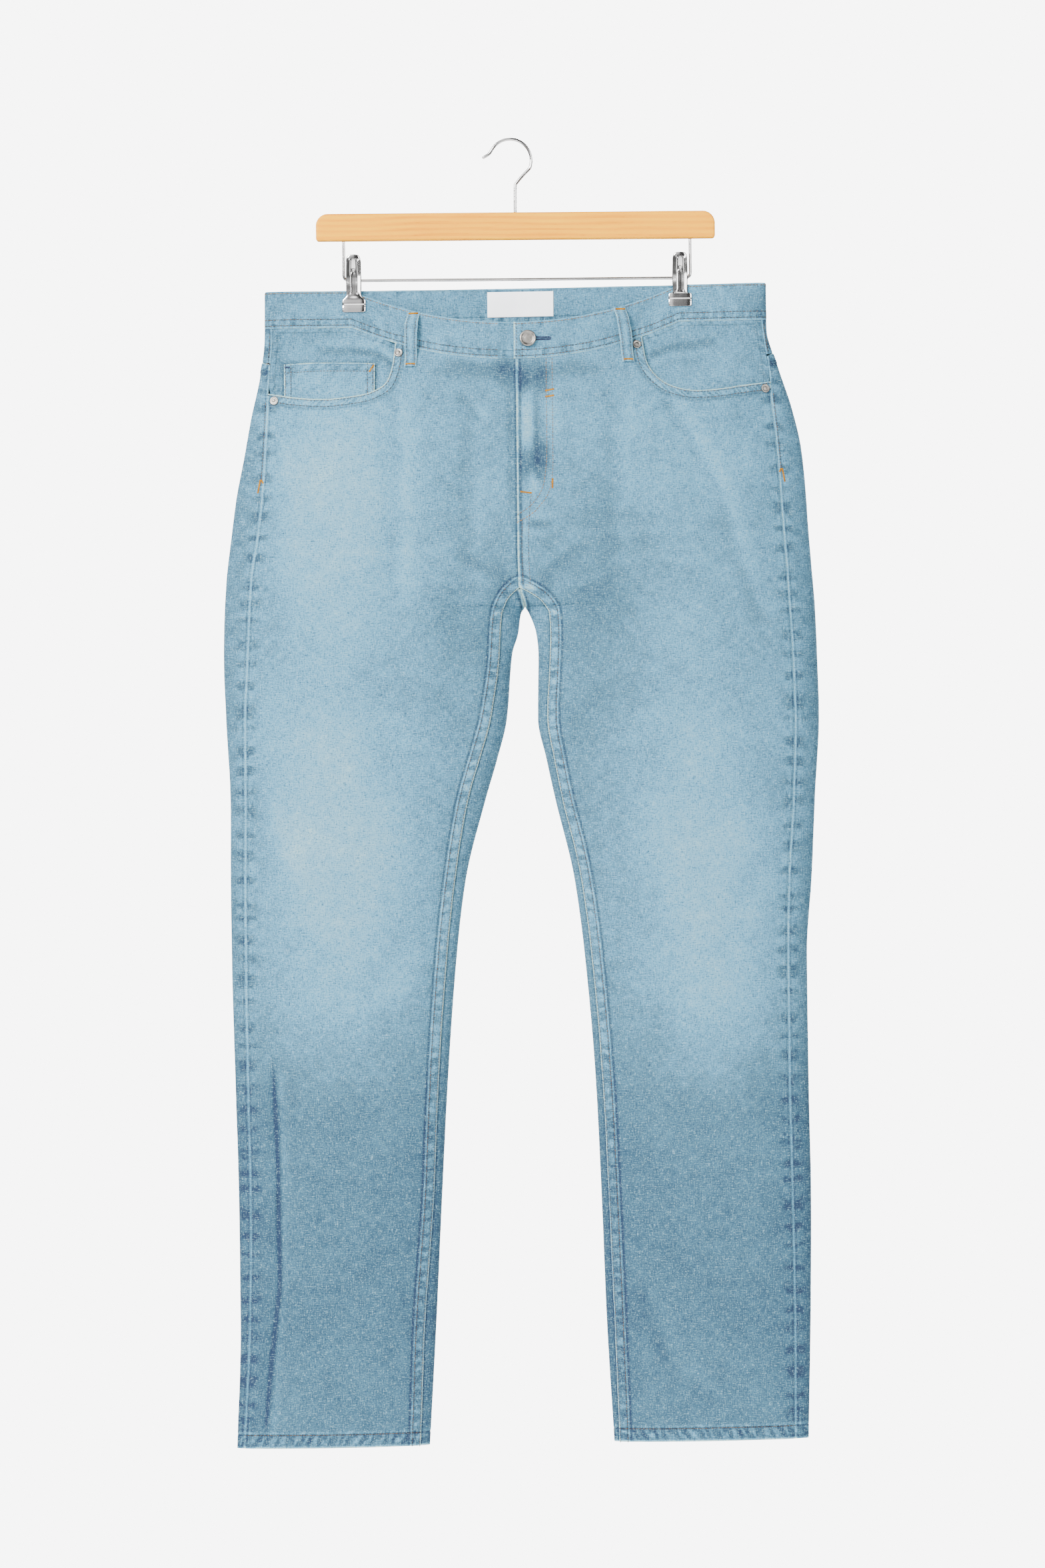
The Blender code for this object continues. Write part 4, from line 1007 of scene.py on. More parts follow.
def inseam_line(side):
    """The inseam from the fork to the hem, as (x, drop) points."""
    drops = np.concatenate([spread(FRONT_FORK, 0.345, 14), spread(0.355, HEM, 50)])
    return np.stack([leg_line("inseam", side, drops), drops], axis=-1)


# A felled seam's ridge: how far it reaches over the cloth, and how wide its slope is.
FELL = 0.0105
FELL_SLOPE = 0.0012


def felled(distance, height):
    """The rise of the cloth over a felled seam's folded edge."""
    return height * smooth_step((FELL - distance) / FELL_SLOPE)


def side_dip(from_side):
    """How the cloth sinks at the plain side seam."""
    return 0.0007 * hump(from_side, 0, 0.0014)


def hem_dip(from_hem):
    """How the cloth sinks at the upper edge of the hem's fold."""
    return 0.0004 * hump(from_hem, 0.0135, 0.0012)


def front_panel(side):
    """One front, from the waistband and the pocket's mouth to the hem."""
    mouth = scoop_line(side, SCOOP_STEPS)
    knots = [0.0, 0.020857, 0.041714, 0.062571, 0.083429, 0.104286, mouth[0][0]]
    xs = np.interp(spread(0, WAIST_KNOTS, WAIST_STEPS), range(WAIST_KNOTS + 1), knots)
    top_x = np.concatenate([xs, mouth[1:, 0]])
    top_drop = np.concatenate([waist_seam(FRONT, xs), mouth[1:, 1]])
    top_q = across(side, side * top_x, top_drop)
    count = len(top_x) - 1
    even = spread(0, 1, count)
    top_c = np.minimum(top_q / outseam(side, top_drop), 1.0)
    top_c[-1] = 1.0
    near = np.array([0, 0.5, 1.0, 1.6, 2.3, 3.2, 4.4, 5.8, 7.2, 8.2, 9.2, 10.4, 12, 14]) / 90
    shares = np.concatenate([near, spread(near[-1], 1.0, 28)[1:-1]])[:, None]
    drops_top = top_drop + (REGULAR_FROM - top_drop) * shares
    c_top = top_c + (closer_at_ends(even) - top_c) * shares
    c_top[:, -1] = 1.0
    drops_leg = np.broadcast_to(leg_drops(REGULAR_FROM)[:, None], (len(leg_drops(REGULAR_FROM)), count + 1))
    drop = np.vstack([drops_top, drops_leg])
    c = np.vstack([c_top, np.broadcast_to(closer_at_ends(even), drops_leg.shape)])
    low, high = inseam(side, drop), outseam(side, drop)
    q = low + c * (high - low)
    x = x_at(side, q, drop)
    edge = [(side * a, b) for a, b in mouth] + [(leg_line("outseam", side, mouth[-1][1]), mouth[-1][1])]
    from_mouth = distance_to(x, drop, edge)
    from_side = np.abs(leg_line("outseam", side, drop) - x)
    from_inseam = distance_to(x, drop, inseam_line(side))
    from_centre = np.where(drop < FRONT_FORK + 0.02, distance_to(x, drop, centre_seam()), 1.0)
    from_hem = HEM - drop
    out = felled(from_inseam, 0.0006) * smooth_step(from_inseam / 0.0008)
    out = out + 0.0007 * hump(from_mouth, 0.0014, 0.0012) - 0.0006 * hump(from_mouth, 0, 0.0006)
    out = out + 0.00035 * smooth_step((0.0095 - from_mouth) / 0.0012)
    out = out - side_dip(from_side) * smooth_step((drop - 0.1) / 0.01) - hem_dip(from_hem)
    # On the right front the fly's measure is moved 3.2 mm out, so that the dark line lies there as painted
    # shadow just beside the fly's edge, and the pale line falls off the cloth.
    if side == RIGHT:
        from_centre = from_centre + 0.0032
        out = out - 0.0007 * hump(from_centre, 0, 0.003)
    else:
        fly = smooth_step((FRONT_FORK + 0.004 - drop) / 0.008)
        out = out + fly * (0.0013 * smooth_step((0.0030 - from_centre) / 0.0014))
        out = out + fly * 0.0006 * hump(from_centre, 0.011, 0.006) * smooth_step((0.235 - drop) / 0.03)
    crease_drop, crease_x = np.array(SHIN_CREASE).T / 1000
    crease_share = smooth_step((drop - 0.742) / 0.09) * (1 - smooth_step((drop - 1.10) / 0.05))
    points = cloth_point(side, FRONT, q, drop, out)
    piece = grid_piece(
        "front_" + SIDE_NAMES[side] + "_cloth", points, normal(side, FRONT, q, drop), side * x, -drop,
        wash=washed_and_shaded(side, FRONT, x, drop), outer=from_side, inner=from_inseam, centre=from_centre,
        top=from_mouth, foot=from_hem, crease=x - np.interp(drop, crease_drop, crease_x),
        crease_share=crease_share * (side == RIGHT),
    )
    finish_sheet(piece, DENIM_WALL, (LEG_DENIM, INSIDE_DENIM), hem=True)
    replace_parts(piece, "front_" + SIDE_NAMES[side])
    return piece


FRONTS = {side: front_panel(side) for side in (RIGHT, LEFT)}

# The backs: two panels of the same twill under the yokes. Each wraps round the leg's outer fold to the side
# seam on the front, and under the crotch and round the inner fold to the inseam.
YOKE_AT_CENTRE = 0.112
YOKE_AT_SIDE = 0.070
BACK_LEVEL_FROM = 0.150
STRIP = 10
TURN = 8
MIDDLE = 58
TURN_SHARE = 0.14
WRAP_FACES = np.array([FRONT] * (STRIP + 1) + [BACK] * (2 * TURN + MIDDLE))


def yoke_seam(q):
    """The drop of the yoke's seam, which rises from the centre back to the side."""
    return YOKE_AT_CENTRE + (YOKE_AT_SIDE - YOKE_AT_CENTRE) * q


def round_the_leg(side, drop):
    """The shares of columns from the side seam on the front, round the outer fold and across the back."""
    ease = np.sin(np.pi / 2 * spread(0, 1, STRIP))
    turn = np.pi / 2 * spread(0, 1, TURN)[1:]
    outer_turn, inner_turn = 1 - TURN_SHARE * (1 - np.cos(turn)), TURN_SHARE * (1 - np.sin(turn))
    across_back = np.concatenate([outer_turn, spread(1 - TURN_SHARE, TURN_SHARE, MIDDLE)[1:], inner_turn])
    strip = 1 - (1 - outseam(side, drop[:, : STRIP + 1])) * (1 - ease)
    return np.hstack([strip, np.broadcast_to(across_back, (len(drop), len(across_back)))])


def from_outseam(side, face, x, drop):
    """How far along the cloth a point of the back lies from the side seam."""
    outer, seam = outer_x(side, drop), leg_line("outseam", side, drop)
    return np.where(face < 0, np.abs(x - seam), np.abs(outer - seam) + np.abs(outer - x))


def back_cloth(name, side, face, q, drop, out, **measures):
    """A grid of the back, with its flat measure running on round the outer fold."""
    x = x_at(side, q, drop)
    flat_x = np.where(face < 0, np.abs(x), 2 * np.abs(outer_x(side, drop)) - np.abs(x))
    points = cloth_point(side, face, q, drop, out)
    wash = washed_and_shaded(side, face, x, drop)
    return grid_piece(name, points, normal(side, face, q, drop), flat_x, -drop, wash=wash, **measures)


def joined(pieces, within):
    """Joins pieces into the last one and merges the points that they share."""
    bpy.ops.object.select_all(action="DESELECT")
    for piece in pieces:
        piece.select_set(True)
    bpy.context.view_layer.objects.active = pieces[-1]
    bpy.ops.object.join()
    bpy.ops.object.mode_set(mode="EDIT")
    bpy.ops.mesh.select_all(action="SELECT")
    bpy.ops.mesh.remove_doubles(threshold=within)
    bpy.ops.object.mode_set(mode="OBJECT")
    return pieces[-1]


def closed(piece, within, material, angle):
    """Closes a grid whose edges meet into a solid piece, and gives it its material and its shading."""
    piece = joined([piece], within)
    piece.data.materials.append(material)
    smoothed(piece, angle)
    return piece


def back_panel(side):
    """One back, from the yoke to the hem."""
    upper = np.concatenate([spread(0, 0.16, 8), spread(0.16, 1.0, 16)[1:-1]])[:, None]
    lower = leg_drops(BACK_LEVEL_FROM)[:, None]
    q = round_the_leg(side, np.full((len(upper), len(WRAP_FACES)), BACK_LEVEL_FROM))
    top = yoke_seam(q) + (BACK_LEVEL_FROM - yoke_seam(q)) * upper
    drop = np.vstack([top, np.broadcast_to(lower, (len(lower), len(WRAP_FACES)))])
    q = round_the_leg(side, drop)
    face = np.broadcast_to(WRAP_FACES, q.shape)
    x = x_at(side, q, drop)
    from_side = from_outseam(side, face, x, drop)
    from_yoke = np.where(drop < 0.2, (drop - yoke_seam(q)) * 0.97, 1.0)
    below = drop > CROTCH
    inner_wrap = np.abs(leg_line("inseam", side, drop) - inner_x(side, drop))
    from_inseam = np.where(below & (face > 0), inner_wrap + np.abs(x - inner_x(side, drop)), 1.0)
    from_centre = np.where(below | (face < 0), 1.0, np.abs(x - LINES["centre"](drop)))
    from_hem = HEM - drop
    out = -hem_dip(from_hem) - side_dip(from_side)
    if side == LEFT:
        out = out + felled(from_centre, 0.0005)
    out = out + felled(from_yoke, 0.0005) * smooth_step(from_yoke / 0.0006)
    name = "back_" + SIDE_NAMES[side]
    panel = back_cloth(
        name + "_cloth", side, face, q, drop, out,
        outer=from_side, inner=from_inseam, centre=from_centre, top=from_yoke, foot=from_hem,
    )
    drops = leg_drops(BACK_LEVEL_FROM)
    drops = drops[drops > FRONT_FORK]
    drop = np.broadcast_to(drops[:, None], (len(drops), 13))
    q = inseam(side, drop) * (1 - np.cos(np.pi / 2 * spread(0, 1, 12)))
    face = np.full(q.shape, FRONT)
    x = x_at(side, q, drop)
    from_inseam = np.abs(leg_line("inseam", side, drop) - x)
    from_centre = np.where(drop < CROTCH + 0.02, np.abs(x - LINES["centre"](np.minimum(drop, CROTCH))), 1.0)
    from_hem = HEM - drop
    out = -0.0010 * hump(from_inseam, 0, 0.0022) - hem_dip(from_hem)
    strip = back_cloth(
        "inner_strip", side, face, q, drop, out,
        outer=1.0, inner=from_inseam + 0.012, centre=from_centre, top=1.0, foot=from_hem,
    )
    panel = joined([strip, panel], 0.00005)
    finish_sheet(panel, DENIM_WALL, (LEG_DENIM, INSIDE_DENIM), hem=True)
    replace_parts(panel, name)
    return panel


BACKS = {side: back_panel(side) for side in (RIGHT, LEFT)}


# The yokes: two curved pieces of the same twill between the waistband and the backs. Each wraps round the hip
# to the side seam as the back does, and laps a little over the back at its lower edge.
TUCKED = 0.0016


def yoke(side):
    """One yoke, from the waistband to its slanting seam."""
    q = round_the_leg(side, np.full((26, len(WRAP_FACES)), 0.06))
    low = WAISTBAND_HEIGHT - TUCKED
    for _ in range(3):
        drop = low + (yoke_seam(q) - low) * spread(0, 1, 25)[:, None]
        q = round_the_leg(side, drop)
    face = np.broadcast_to(WRAP_FACES, q.shape)
    x = x_at(side, q, drop)
    from_side = from_outseam(side, face, x, drop)
    from_centre = np.where(face < 0, 1.0, np.abs(x))
    from_seam = (yoke_seam(q) - drop) * 0.97
    out = -side_dip(from_side) - 0.0006 * hump(from_seam, 0, 0.0012)
    if side == LEFT:
        out = out + felled(from_centre, 0.0005)
    name = "yoke_" + SIDE_NAMES[side]
    piece = back_cloth(
        name + "_cloth", side, face, q, drop, out,
        outer=from_side, inner=1.0, centre=from_centre, top=1.0, foot=1.0,
    )
    finish_sheet(piece, DENIM_WALL, (LEG_DENIM, INSIDE_DENIM))
    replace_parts(piece, name)
    return piece


YOKES = {side: yoke(side) for side in (RIGHT, LEFT)}

# The waistband: one long strip of twill folded double and sewn on round the top, its end on the wearer's
# left lapping over its end on the right, where the button holds it. Its lower edge puckers on its thread.
WAISTBAND_WALL = 0.0024
WAISTBAND_PROUD = 0.0004
LAPPED_UNDER = WAISTBAND_WALL + 0.0005
BAND_SHARE_AT = 0.02
BAND_END = 0.2499
UNDERLAP = (
    (0.0170, 0.0), (0.0145, 0.15), (0.0120, 0.4), (0.0095, 0.7), (0.0070, 0.95), (0.0040, 1.0), (0.0, 1.0),
    (-0.0050, 1.0), (-0.0100, 1.0), (-0.0160, 1.0), (-0.0220, 1.0), (-0.0270, 1.0),
)


def band_stations():
    """The band's columns all round: side, face, distance out, and how far under the other end each lies."""
    turn = BAND_END - 0.012 * (1 - np.sin(np.pi / 2 * spread(0, 1, 14)))
    half = np.concatenate([np.arange(0.0, BAND_END - 0.0125, 0.0017), turn])
    right_front = half[::-1][1:]
    right_front = right_front[right_front > UNDERLAP[0][0] + 0.0008]
    under_x, under = np.array(UNDERLAP).T
    runs = (
        (LEFT, FRONT, np.concatenate([[-0.002, -0.001], half]), 0.0), (LEFT, BACK, half[::-1][1:], 0.0),
        (RIGHT, BACK, half[1:], 0.0), (RIGHT, FRONT, right_front, 0.0), (RIGHT, FRONT, under_x, under),
    )
    return np.hstack([np.stack(np.broadcast_arrays(*run)) for run in runs])


def band_place(side, face, x, share, out):
    """A point of the band, and its outward direction, at a distance out and a share down."""
    drop = waist_top(face, x) + share * WAISTBAND_HEIGHT
    q = side * x / outer_x(side, BAND_SHARE_AT)
    return cloth_point(side, face, q, drop, WAISTBAND_PROUD + out), normal(side, face, q, drop)


band_denim = Denim("waistband_denim")
band_top = band_denim.measure("top")
band_foot = band_denim.measure("foot")
band_end = band_denim.measure("end")
band_denim.puckered(band_foot, band_denim.u, 0.0088, 0.0098, 0.55)
band_denim.blotched(band_foot, band_denim.u, 0.023, 0.014, 0.35)
band_denim.puckered(band_top, band_denim.u, 0.0110, 0.0042, 0.40)
# These three: painted shade along the band's rows of stitches.
band_denim.line(band_foot, 0.0028, 0.0006, -0.45, -0.0002)
band_denim.line(band_foot, 0.0087, 0.0006, -0.45, -0.0002)
band_denim.line(band_top, 0.0020, 0.0006, -0.30, -0.0002)
band_denim.line(band_end, 0.0006, 0.0011, 0.90)
BAND_DENIM = band_denim.done()


def waistband():
    """The strip, with its flat measure along it."""
    side, face, x, under = band_stations()
    share = np.concatenate([[0, 0.012, 0.03], spread(0.06, 0.94, 17), [0.97, 0.988, 1.0]])[:, None]
    middle, _ = band_place(side, face, x, np.full(1, 0.5), 0.0)
    along = lengths_along(middle)
    top, foot = share * WAISTBAND_HEIGHT + 0 * along, (1 - share) * WAISTBAND_HEIGHT + 0 * along
    end = np.broadcast_to(along, top.shape)
    pucker = np.sin(along * 2 * np.pi / 0.0088 + 1.7 * np.sin(along * 31)) * (0.6 + 0.4 * np.sin(along * 57))
    out = 0.00026 * pucker * smooth_step((0.0110 - foot) / 0.003) * smooth_step(foot / 0.002)
    out = out + 0.00012 * np.sin(along * 2 * np.pi / 0.0113) * smooth_step((0.005 - top) / 0.002)
    out = out * (1 - held_flat(x, top)) - LAPPED_UNDER * under
    out = out - 0.0007 * hump(top, 0, 0.0007) - 0.0006 * hump(foot, 0, 0.0007)
    points, facing = band_place(side, face, x, share, out)
    wash = washed_and_shaded(side, face, side * x, top) + 0 * top
    piece = grid_piece("waistband_cloth", points, facing, end, -top, wash=wash, top=top, foot=foot, end=end)
    finish_sheet(piece, WAISTBAND_WALL, (BAND_DENIM,))
    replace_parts(piece, "waistband")
    return piece


WAISTBAND = waistband()

# The front pockets: behind each mouth a facing of the same twill closes the pocket, sewn into the waistband
# and the side seam, and on the wearer's right a small coin pocket is sewn on it.
FACING_NEAR = 0.104
FACING_BOTTOM = 0.150
FACING_UNDER = {RIGHT: 0.0041, LEFT: 0.0029}
COIN = {"near": 0.1405, "far": 0.2315, "top": 0.0725, "bottom": 0.128}
COIN_UNDER = 0.0018

pocket_denim = Denim("pocket_denim")
pocket_edge = pocket_denim.measure("edge")
pocket_denim.blotched(pocket_edge, pocket_denim.u + pocket_denim.v, 0.011, 0.009, 0.45)
# Painted shade along the pockets' two rows of stitches.
for row in (0.0018, 0.0075):
    pocket_denim.line(pocket_edge, row, 0.0006, -0.40, -0.0002)
pocket_denim.line(pocket_edge, 0.0006, 0.0011, 0.70)
POCKET_DENIM = pocket_denim.done()


def facing_out(side, x, drop, far):
    """How deep the facing lies: behind the front, and up to the surface at the waist and the side seam."""
    at_side = smooth_step((x - far + 0.012) / 0.009) * (1 - smooth_step((drop - 0.092) / 0.010))
    below = drop - waist_seam(FRONT, x)
    at_waist = (1 - smooth_step((below - 0.003) / 0.008)) * smooth_step((x - 0.124) / 0.006)
    return -FACING_UNDER[side] + (FACING_UNDER[side] - 0.0006) * np.maximum(at_side, at_waist)


def pocket_facing(side):
    """The cloth behind a front pocket's mouth."""
    share = spread(0, 1, 34)[:, None]
    c = spread(0, 1, 52)
    top = waist_seam(FRONT, FACING_NEAR + 0.14 * c) - 0.0015
    drop = top + (FACING_BOTTOM - top) * share
    far = np.abs(leg_line("outseam", side, drop)) - 0.0002
    x = FACING_NEAR + c * (far - FACING_NEAR)
    q = across(side, side * x, drop)
    out = facing_out(side, x, drop, far)
    edge = np.minimum(far - x, drop - top) + 0.002
    name = "pocket_facing_" + SIDE_NAMES[side]
    wash = washed_and_shaded(side, FRONT, side * x, drop) * 0.9
    # On the right, a painted shadow round the coin pocket, which stands off the facing.
    if side == RIGHT:
        off_coin = np.maximum(np.maximum(COIN["near"] - x, x - COIN["far"]), COIN["top"] - drop)
        wash = wash - 0.8 * hump(off_coin, 0.001, 0.0022)
    # Painted shade in the creases.
    wash = wash - 220 * pressed(CREASES, FRONT, side * x, drop)
    points = cloth_point(side, FRONT, q, drop, out)
    piece = grid_piece(name + "_cloth", points, normal(side, FRONT, q, drop), x, -drop, wash=wash, edge=edge)
    finish_sheet(piece, DENIM_WALL, (POCKET_DENIM, INSIDE_DENIM))
    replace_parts(piece, name)
    return piece


def coin_pocket():
    """The small pocket, hemmed along its top."""
    t = spread(0, 1, 34)[:, None]
    c = spread(0, 1, 54)
    x = COIN["near"] + (COIN["far"] - COIN["near"]) * c
    top = COIN["top"] - 0.0015 * np.sin(np.pi * c)
    drop = top + (COIN["bottom"] - top) * t
    x = x + 0 * drop
    edge = np.minimum(np.minimum(x - COIN["near"], COIN["far"] - x), drop - top)
    out = -COIN_UNDER - 0.0007 * hump(edge, 0, 0.0008) + 0.0003 * smooth_step((0.0095 - drop + top) / 0.001)
    pull = np.sin((x - 0.5 * drop) * 2 * np.pi / 0.021) * smooth_step((0.026 - drop + top) / 0.02)
    out = out + 0.00022 * pull * smooth_step(edge / 0.006)
    q = across(RIGHT, -x, drop)
    points = cloth_point(RIGHT, FRONT, q, drop, out)
    # Paler on the crests of the pulled ripples and darker between them: painted highlight and painted shade.
    wash = washed_and_shaded(RIGHT, FRONT, -x, drop) * 0.8 + 0.02 + 0.16 * pull
    facing = normal(RIGHT, FRONT, q, drop)
    piece = grid_piece("coin_pocket_cloth", points, facing, x, -drop, wash=wash, edge=edge)
    finish_sheet(piece, 0.0011, (POCKET_DENIM, INSIDE_DENIM))
    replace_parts(piece, "coin_pocket")
    return piece


FACINGS = {side: pocket_facing(side) for side in (RIGHT, LEFT)}
COIN_POCKET = coin_pocket()

# The back pockets: two patches with a hemmed mouth and a shallow point at the foot, sewn on the backs across
# the end of the yoke's seam.
BACK_POCKET = {
    "top": ((0.048, 0.140), (0.204, 0.133)),
    "foot": ((0.057, 0.276), (0.126, 0.300), (0.196, 0.268)),
}


def back_pocket(side):
    """One patch, laid on the back."""
    c, t = spread(0, 1, 60), spread(0, 1, 56)[:, None]
    (ax, ad), (bx, bd) = BACK_POCKET["top"]
    feet = smooth_line(BACK_POCKET["foot"][:2], count=30), smooth_line(BACK_POCKET["foot"][1:], count=30)
    foot = np.vstack([feet[0], feet[1][1:]])
    x = (ax + (bx - ax) * c) * (1 - t) + foot[:, 0] * t
    drop = (ad + (bd - ad) * c) * (1 - t) + foot[:, 1] * t
    outline = [(ax, ad), (bx, bd), *BACK_POCKET["foot"][::-1], (ax, ad)]
    edge = distance_to(x, drop, outline)
    from_mouth = (drop - ad - (bd - ad) * c) * 0.99
    out = 0.0017 - 0.0010 * hump(edge, 0, 0.0008) + 0.0004 * smooth_step((0.0150 - from_mouth) / 0.0012)
    out = out + 0.0005 * np.sin(np.pi * c) * np.sin(np.pi * t)
    q = across(side, side * x, drop)
    name = "back_pocket_" + SIDE_NAMES[side]
    points = cloth_point(side, BACK, q, drop, out)
    wash = washed_and_shaded(side, BACK, side * x, drop) + 0.06
    piece = grid_piece(name + "_cloth", points, normal(side, BACK, q, drop), x, -drop, wash=wash, edge=edge)
    finish_sheet(piece, DENIM_WALL, (POCKET_DENIM, INSIDE_DENIM))
    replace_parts(piece, name)
    return piece


BACK_POCKETS = {side: back_pocket(side) for side in (RIGHT, LEFT)}

# The belt loops: five narrow strips folded from the same twill, sewn down with a bar of thread at both ends
# and standing off the waistband between them.
LOOP_WIDTH = 0.0124
LOOP_LENGTH = WAISTBAND_HEIGHT + 0.019
LOOP_RISE = 0.0052
LOOPS = {
    "belt_loop_front_right": (RIGHT, FRONT, 0.1010, 0.1048),
    "belt_loop_front_left": (LEFT, FRONT, 0.1037, 0.1120),
    "belt_loop_back_right": (RIGHT, BACK, 0.1280, 0.1280),
    "belt_loop_back_left": (LEFT, BACK, 0.1280, 0.1280),
    "belt_loop_back_centre": (LEFT, BACK, 0.0, 0.0),
}


def loop_place(side, face, x_top, x_end, t, c):
    """A point of a loop and its outward direction, t down it and c across it from -1 to 1."""
    drop = waist_top(face, x_top) + 0.0006 + t * LOOP_LENGTH
    x = x_top + (x_end - x_top) * t + c * LOOP_WIDTH / 2
    rise = smooth_step((t - 0.04) / 0.16) * (1 - smooth_step((t - 0.64) / 0.17))
    out = WAISTBAND_PROUD + 0.0017 + LOOP_RISE * rise
    out = out - 0.0006 * np.abs(c) ** 8 + 0.00018 * np.cos(np.pi * c) - 0.00012 * np.sin(t * 46) * np.abs(c)
    q = across(side, side * x, drop)
    return cloth_point(side, face, q, drop, out), normal(side, face, q, drop)


loop_denim = Denim("loop_denim")
loop_edge = loop_denim.measure("edge")
loop_denim.line(loop_edge, 0.0002, 0.0010, 0.75)
# Painted shade along the loop's rows of stitches.
loop_denim.line(loop_edge, 0.0030, 0.0012, -0.34, -0.0001)
loop_denim.line(loop_edge, 0.0060, 0.0016, 0.22)
LOOP_DENIM = loop_denim.done()


def belt_loop(node, side, face, x_top, x_end):
    """One strip."""
    t, c = spread(0, 1, 46)[:, None], spread(-1, 1, 12)
    points, facing = loop_place(side, face, x_top, x_end, t, c)
    edge = (1 - np.abs(c)) * LOOP_WIDTH / 2 + 0 * t
    wash = 0.46 - 0.30 * hump(t, 0.30, 0.05) - 0.24 * hump(t, 0.74, 0.06) + 0 * c
    flat_x, flat_y = c * LOOP_WIDTH / 2, -t * LOOP_LENGTH
    piece = grid_piece(node + "_cloth", points, facing, flat_x, flat_y, wash=wash, edge=edge)
    finish_sheet(piece, 0.0013, (LOOP_DENIM,), eased=0.0003)
    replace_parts(piece, node)
    return piece


BELT_LOOPS = {node: belt_loop(node, *row) for node, row in LOOPS.items()}

# The label: a bare oblong of white woven tape, sewn inside the back of the waistband along its short sides.
LABEL = {"top": 0.0035, "bottom": 0.0285, "near": -0.028, "far": 0.038}

label_weave = Finish("label_weave", Roughness=0.72, Specular_IOR_Level=0.3, Sheen_Weight=0.2)
label_flat = label_weave.laid_flat()
label_u, label_v, _ = label_weave.parts(label_flat)
label_cloud = label_weave.noise(label_flat, 90.0, 3.0)
label_ribs = (label_v * 9000).sine() * 0.5 + (label_u * 7000).sine() * 0.3
label_level = label_cloud * 0.5 + label_ribs * 0.12 + 0.6
label_weave.paint(Base_Color=label_weave.between(label_level, (0.80, 0.83, 0.90), (1.0, 1.0, 1.0)))
label_weave.raised(label_ribs * 0.00003 + label_cloud * 0.0003)


def label():
    """The tape, standing a little off the band between its sewn ends."""
    t, c = spread(0, 1, 20)[:, None], spread(0, 1, 48)
    x = LABEL["near"] + (LABEL["far"] - LABEL["near"]) * c
    drop = LABEL["top"] + (LABEL["bottom"] - LABEL["top"]) * t
    ripple = np.sin(np.pi * c) * (0.5 + 0.5 * np.sin(5 * c + 3 * t)) + 0 * drop
    q = across(LEFT, x + 0 * drop, drop)
    points = cloth_point(LEFT, BACK, q, drop, -0.0024 - 0.0007 * ripple)
    piece = grid_piece("label_tape", points, -normal(LEFT, BACK, q, drop), x, -drop)
    finish_sheet(piece, 0.0006, (label_weave.material,), eased=0.0002, inward=False)
    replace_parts(piece, "label")
    return piece


LABEL_TAPE = label()

# The zip: a woven tape behind the fly with its two rows of metal teeth closed, hidden when the fly is shut.
ZIP = {"top": 0.0755, "bottom": 0.190, "half": 0.014}

tape_weave = Finish("zip_tape_weave", Roughness=0.85)
tape_speck = tape_weave.noise(tape_weave.laid_flat(), 900.0, 2.0)
tape_weave.paint(Base_Color=tape_weave.between(tape_speck + 0.5, (0.02, 0.04, 0.08), (0.06, 0.10, 0.16)))
tape_weave.raised(tape_speck * 0.0002)


def zip_tape():
    """The tape, thicker along its middle."""
    t, c = spread(0, 1, 40)[:, None], spread(-1, 1, 16)
    drop = ZIP["top"] + (ZIP["bottom"] - ZIP["top"]) * t + 0 * c
    q = across(LEFT, ZIP["half"] * c + 0 * drop, drop)
    points = cloth_point(LEFT, FRONT, q, drop, -0.0023)
    piece = grid_piece("zip_tape_cloth", points, normal(LEFT, FRONT, q, drop), ZIP["half"] * c, -drop)
    finish_sheet(piece, 0.0007, (tape_weave.material,))
    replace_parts(piece, "zip")
    return piece


ZIP_TAPE = zip_tape()

# The sewing: cotton thread in brown, tan and orange on all the seams, with close bars of it where a seam
# takes a pull, navy at the buttonhole and the zip's teeth in brass. Each stitch's ends dip into the cloth.
STITCH = {"pitch": 0.0033, "length": 0.0027, "width": 0.00068, "lift": 0.00010}
BAR_STITCH = {"pitch": 0.00046, "length": 0.0020, "width": 0.00052, "lift": 0.00022}


def thread(name, dark, light):
    """A thread's finish: twisted cotton, paler where it is rubbed."""
    made = Finish(name, Roughness=0.8, Specular_IOR_Level=0.15)
    worn = made.measure("shade")
    speck = made.noise(made.in_piece(), 2600.0, 2.0)
    made.paint(Base_Color=made.between(worn + speck * 0.6, dark, light))
    return made.material


brass = Finish("brass", Metallic=1.0, Roughness=0.35)
brass_speck = brass.noise(brass.in_piece(), 900.0, 2.0)
brass.paint(Base_Color=brass.between(brass_speck + 0.5, (0.45, 0.30, 0.12), (0.75, 0.55, 0.25)))
THREADS = {
    "brown": thread("brown_thread", (0.026, 0.017, 0.010), (0.115, 0.070, 0.038)),
    "tan": thread("tan_thread", (0.11, 0.058, 0.018), (0.26, 0.145, 0.050)),
    "orange": thread("orange_thread", (0.20, 0.075, 0.0), (0.42, 0.185, 0.0)),
    "navy": thread("navy_thread", (0.010, 0.016, 0.035), (0.04, 0.06, 0.11)),
    "brass": brass.material,
}


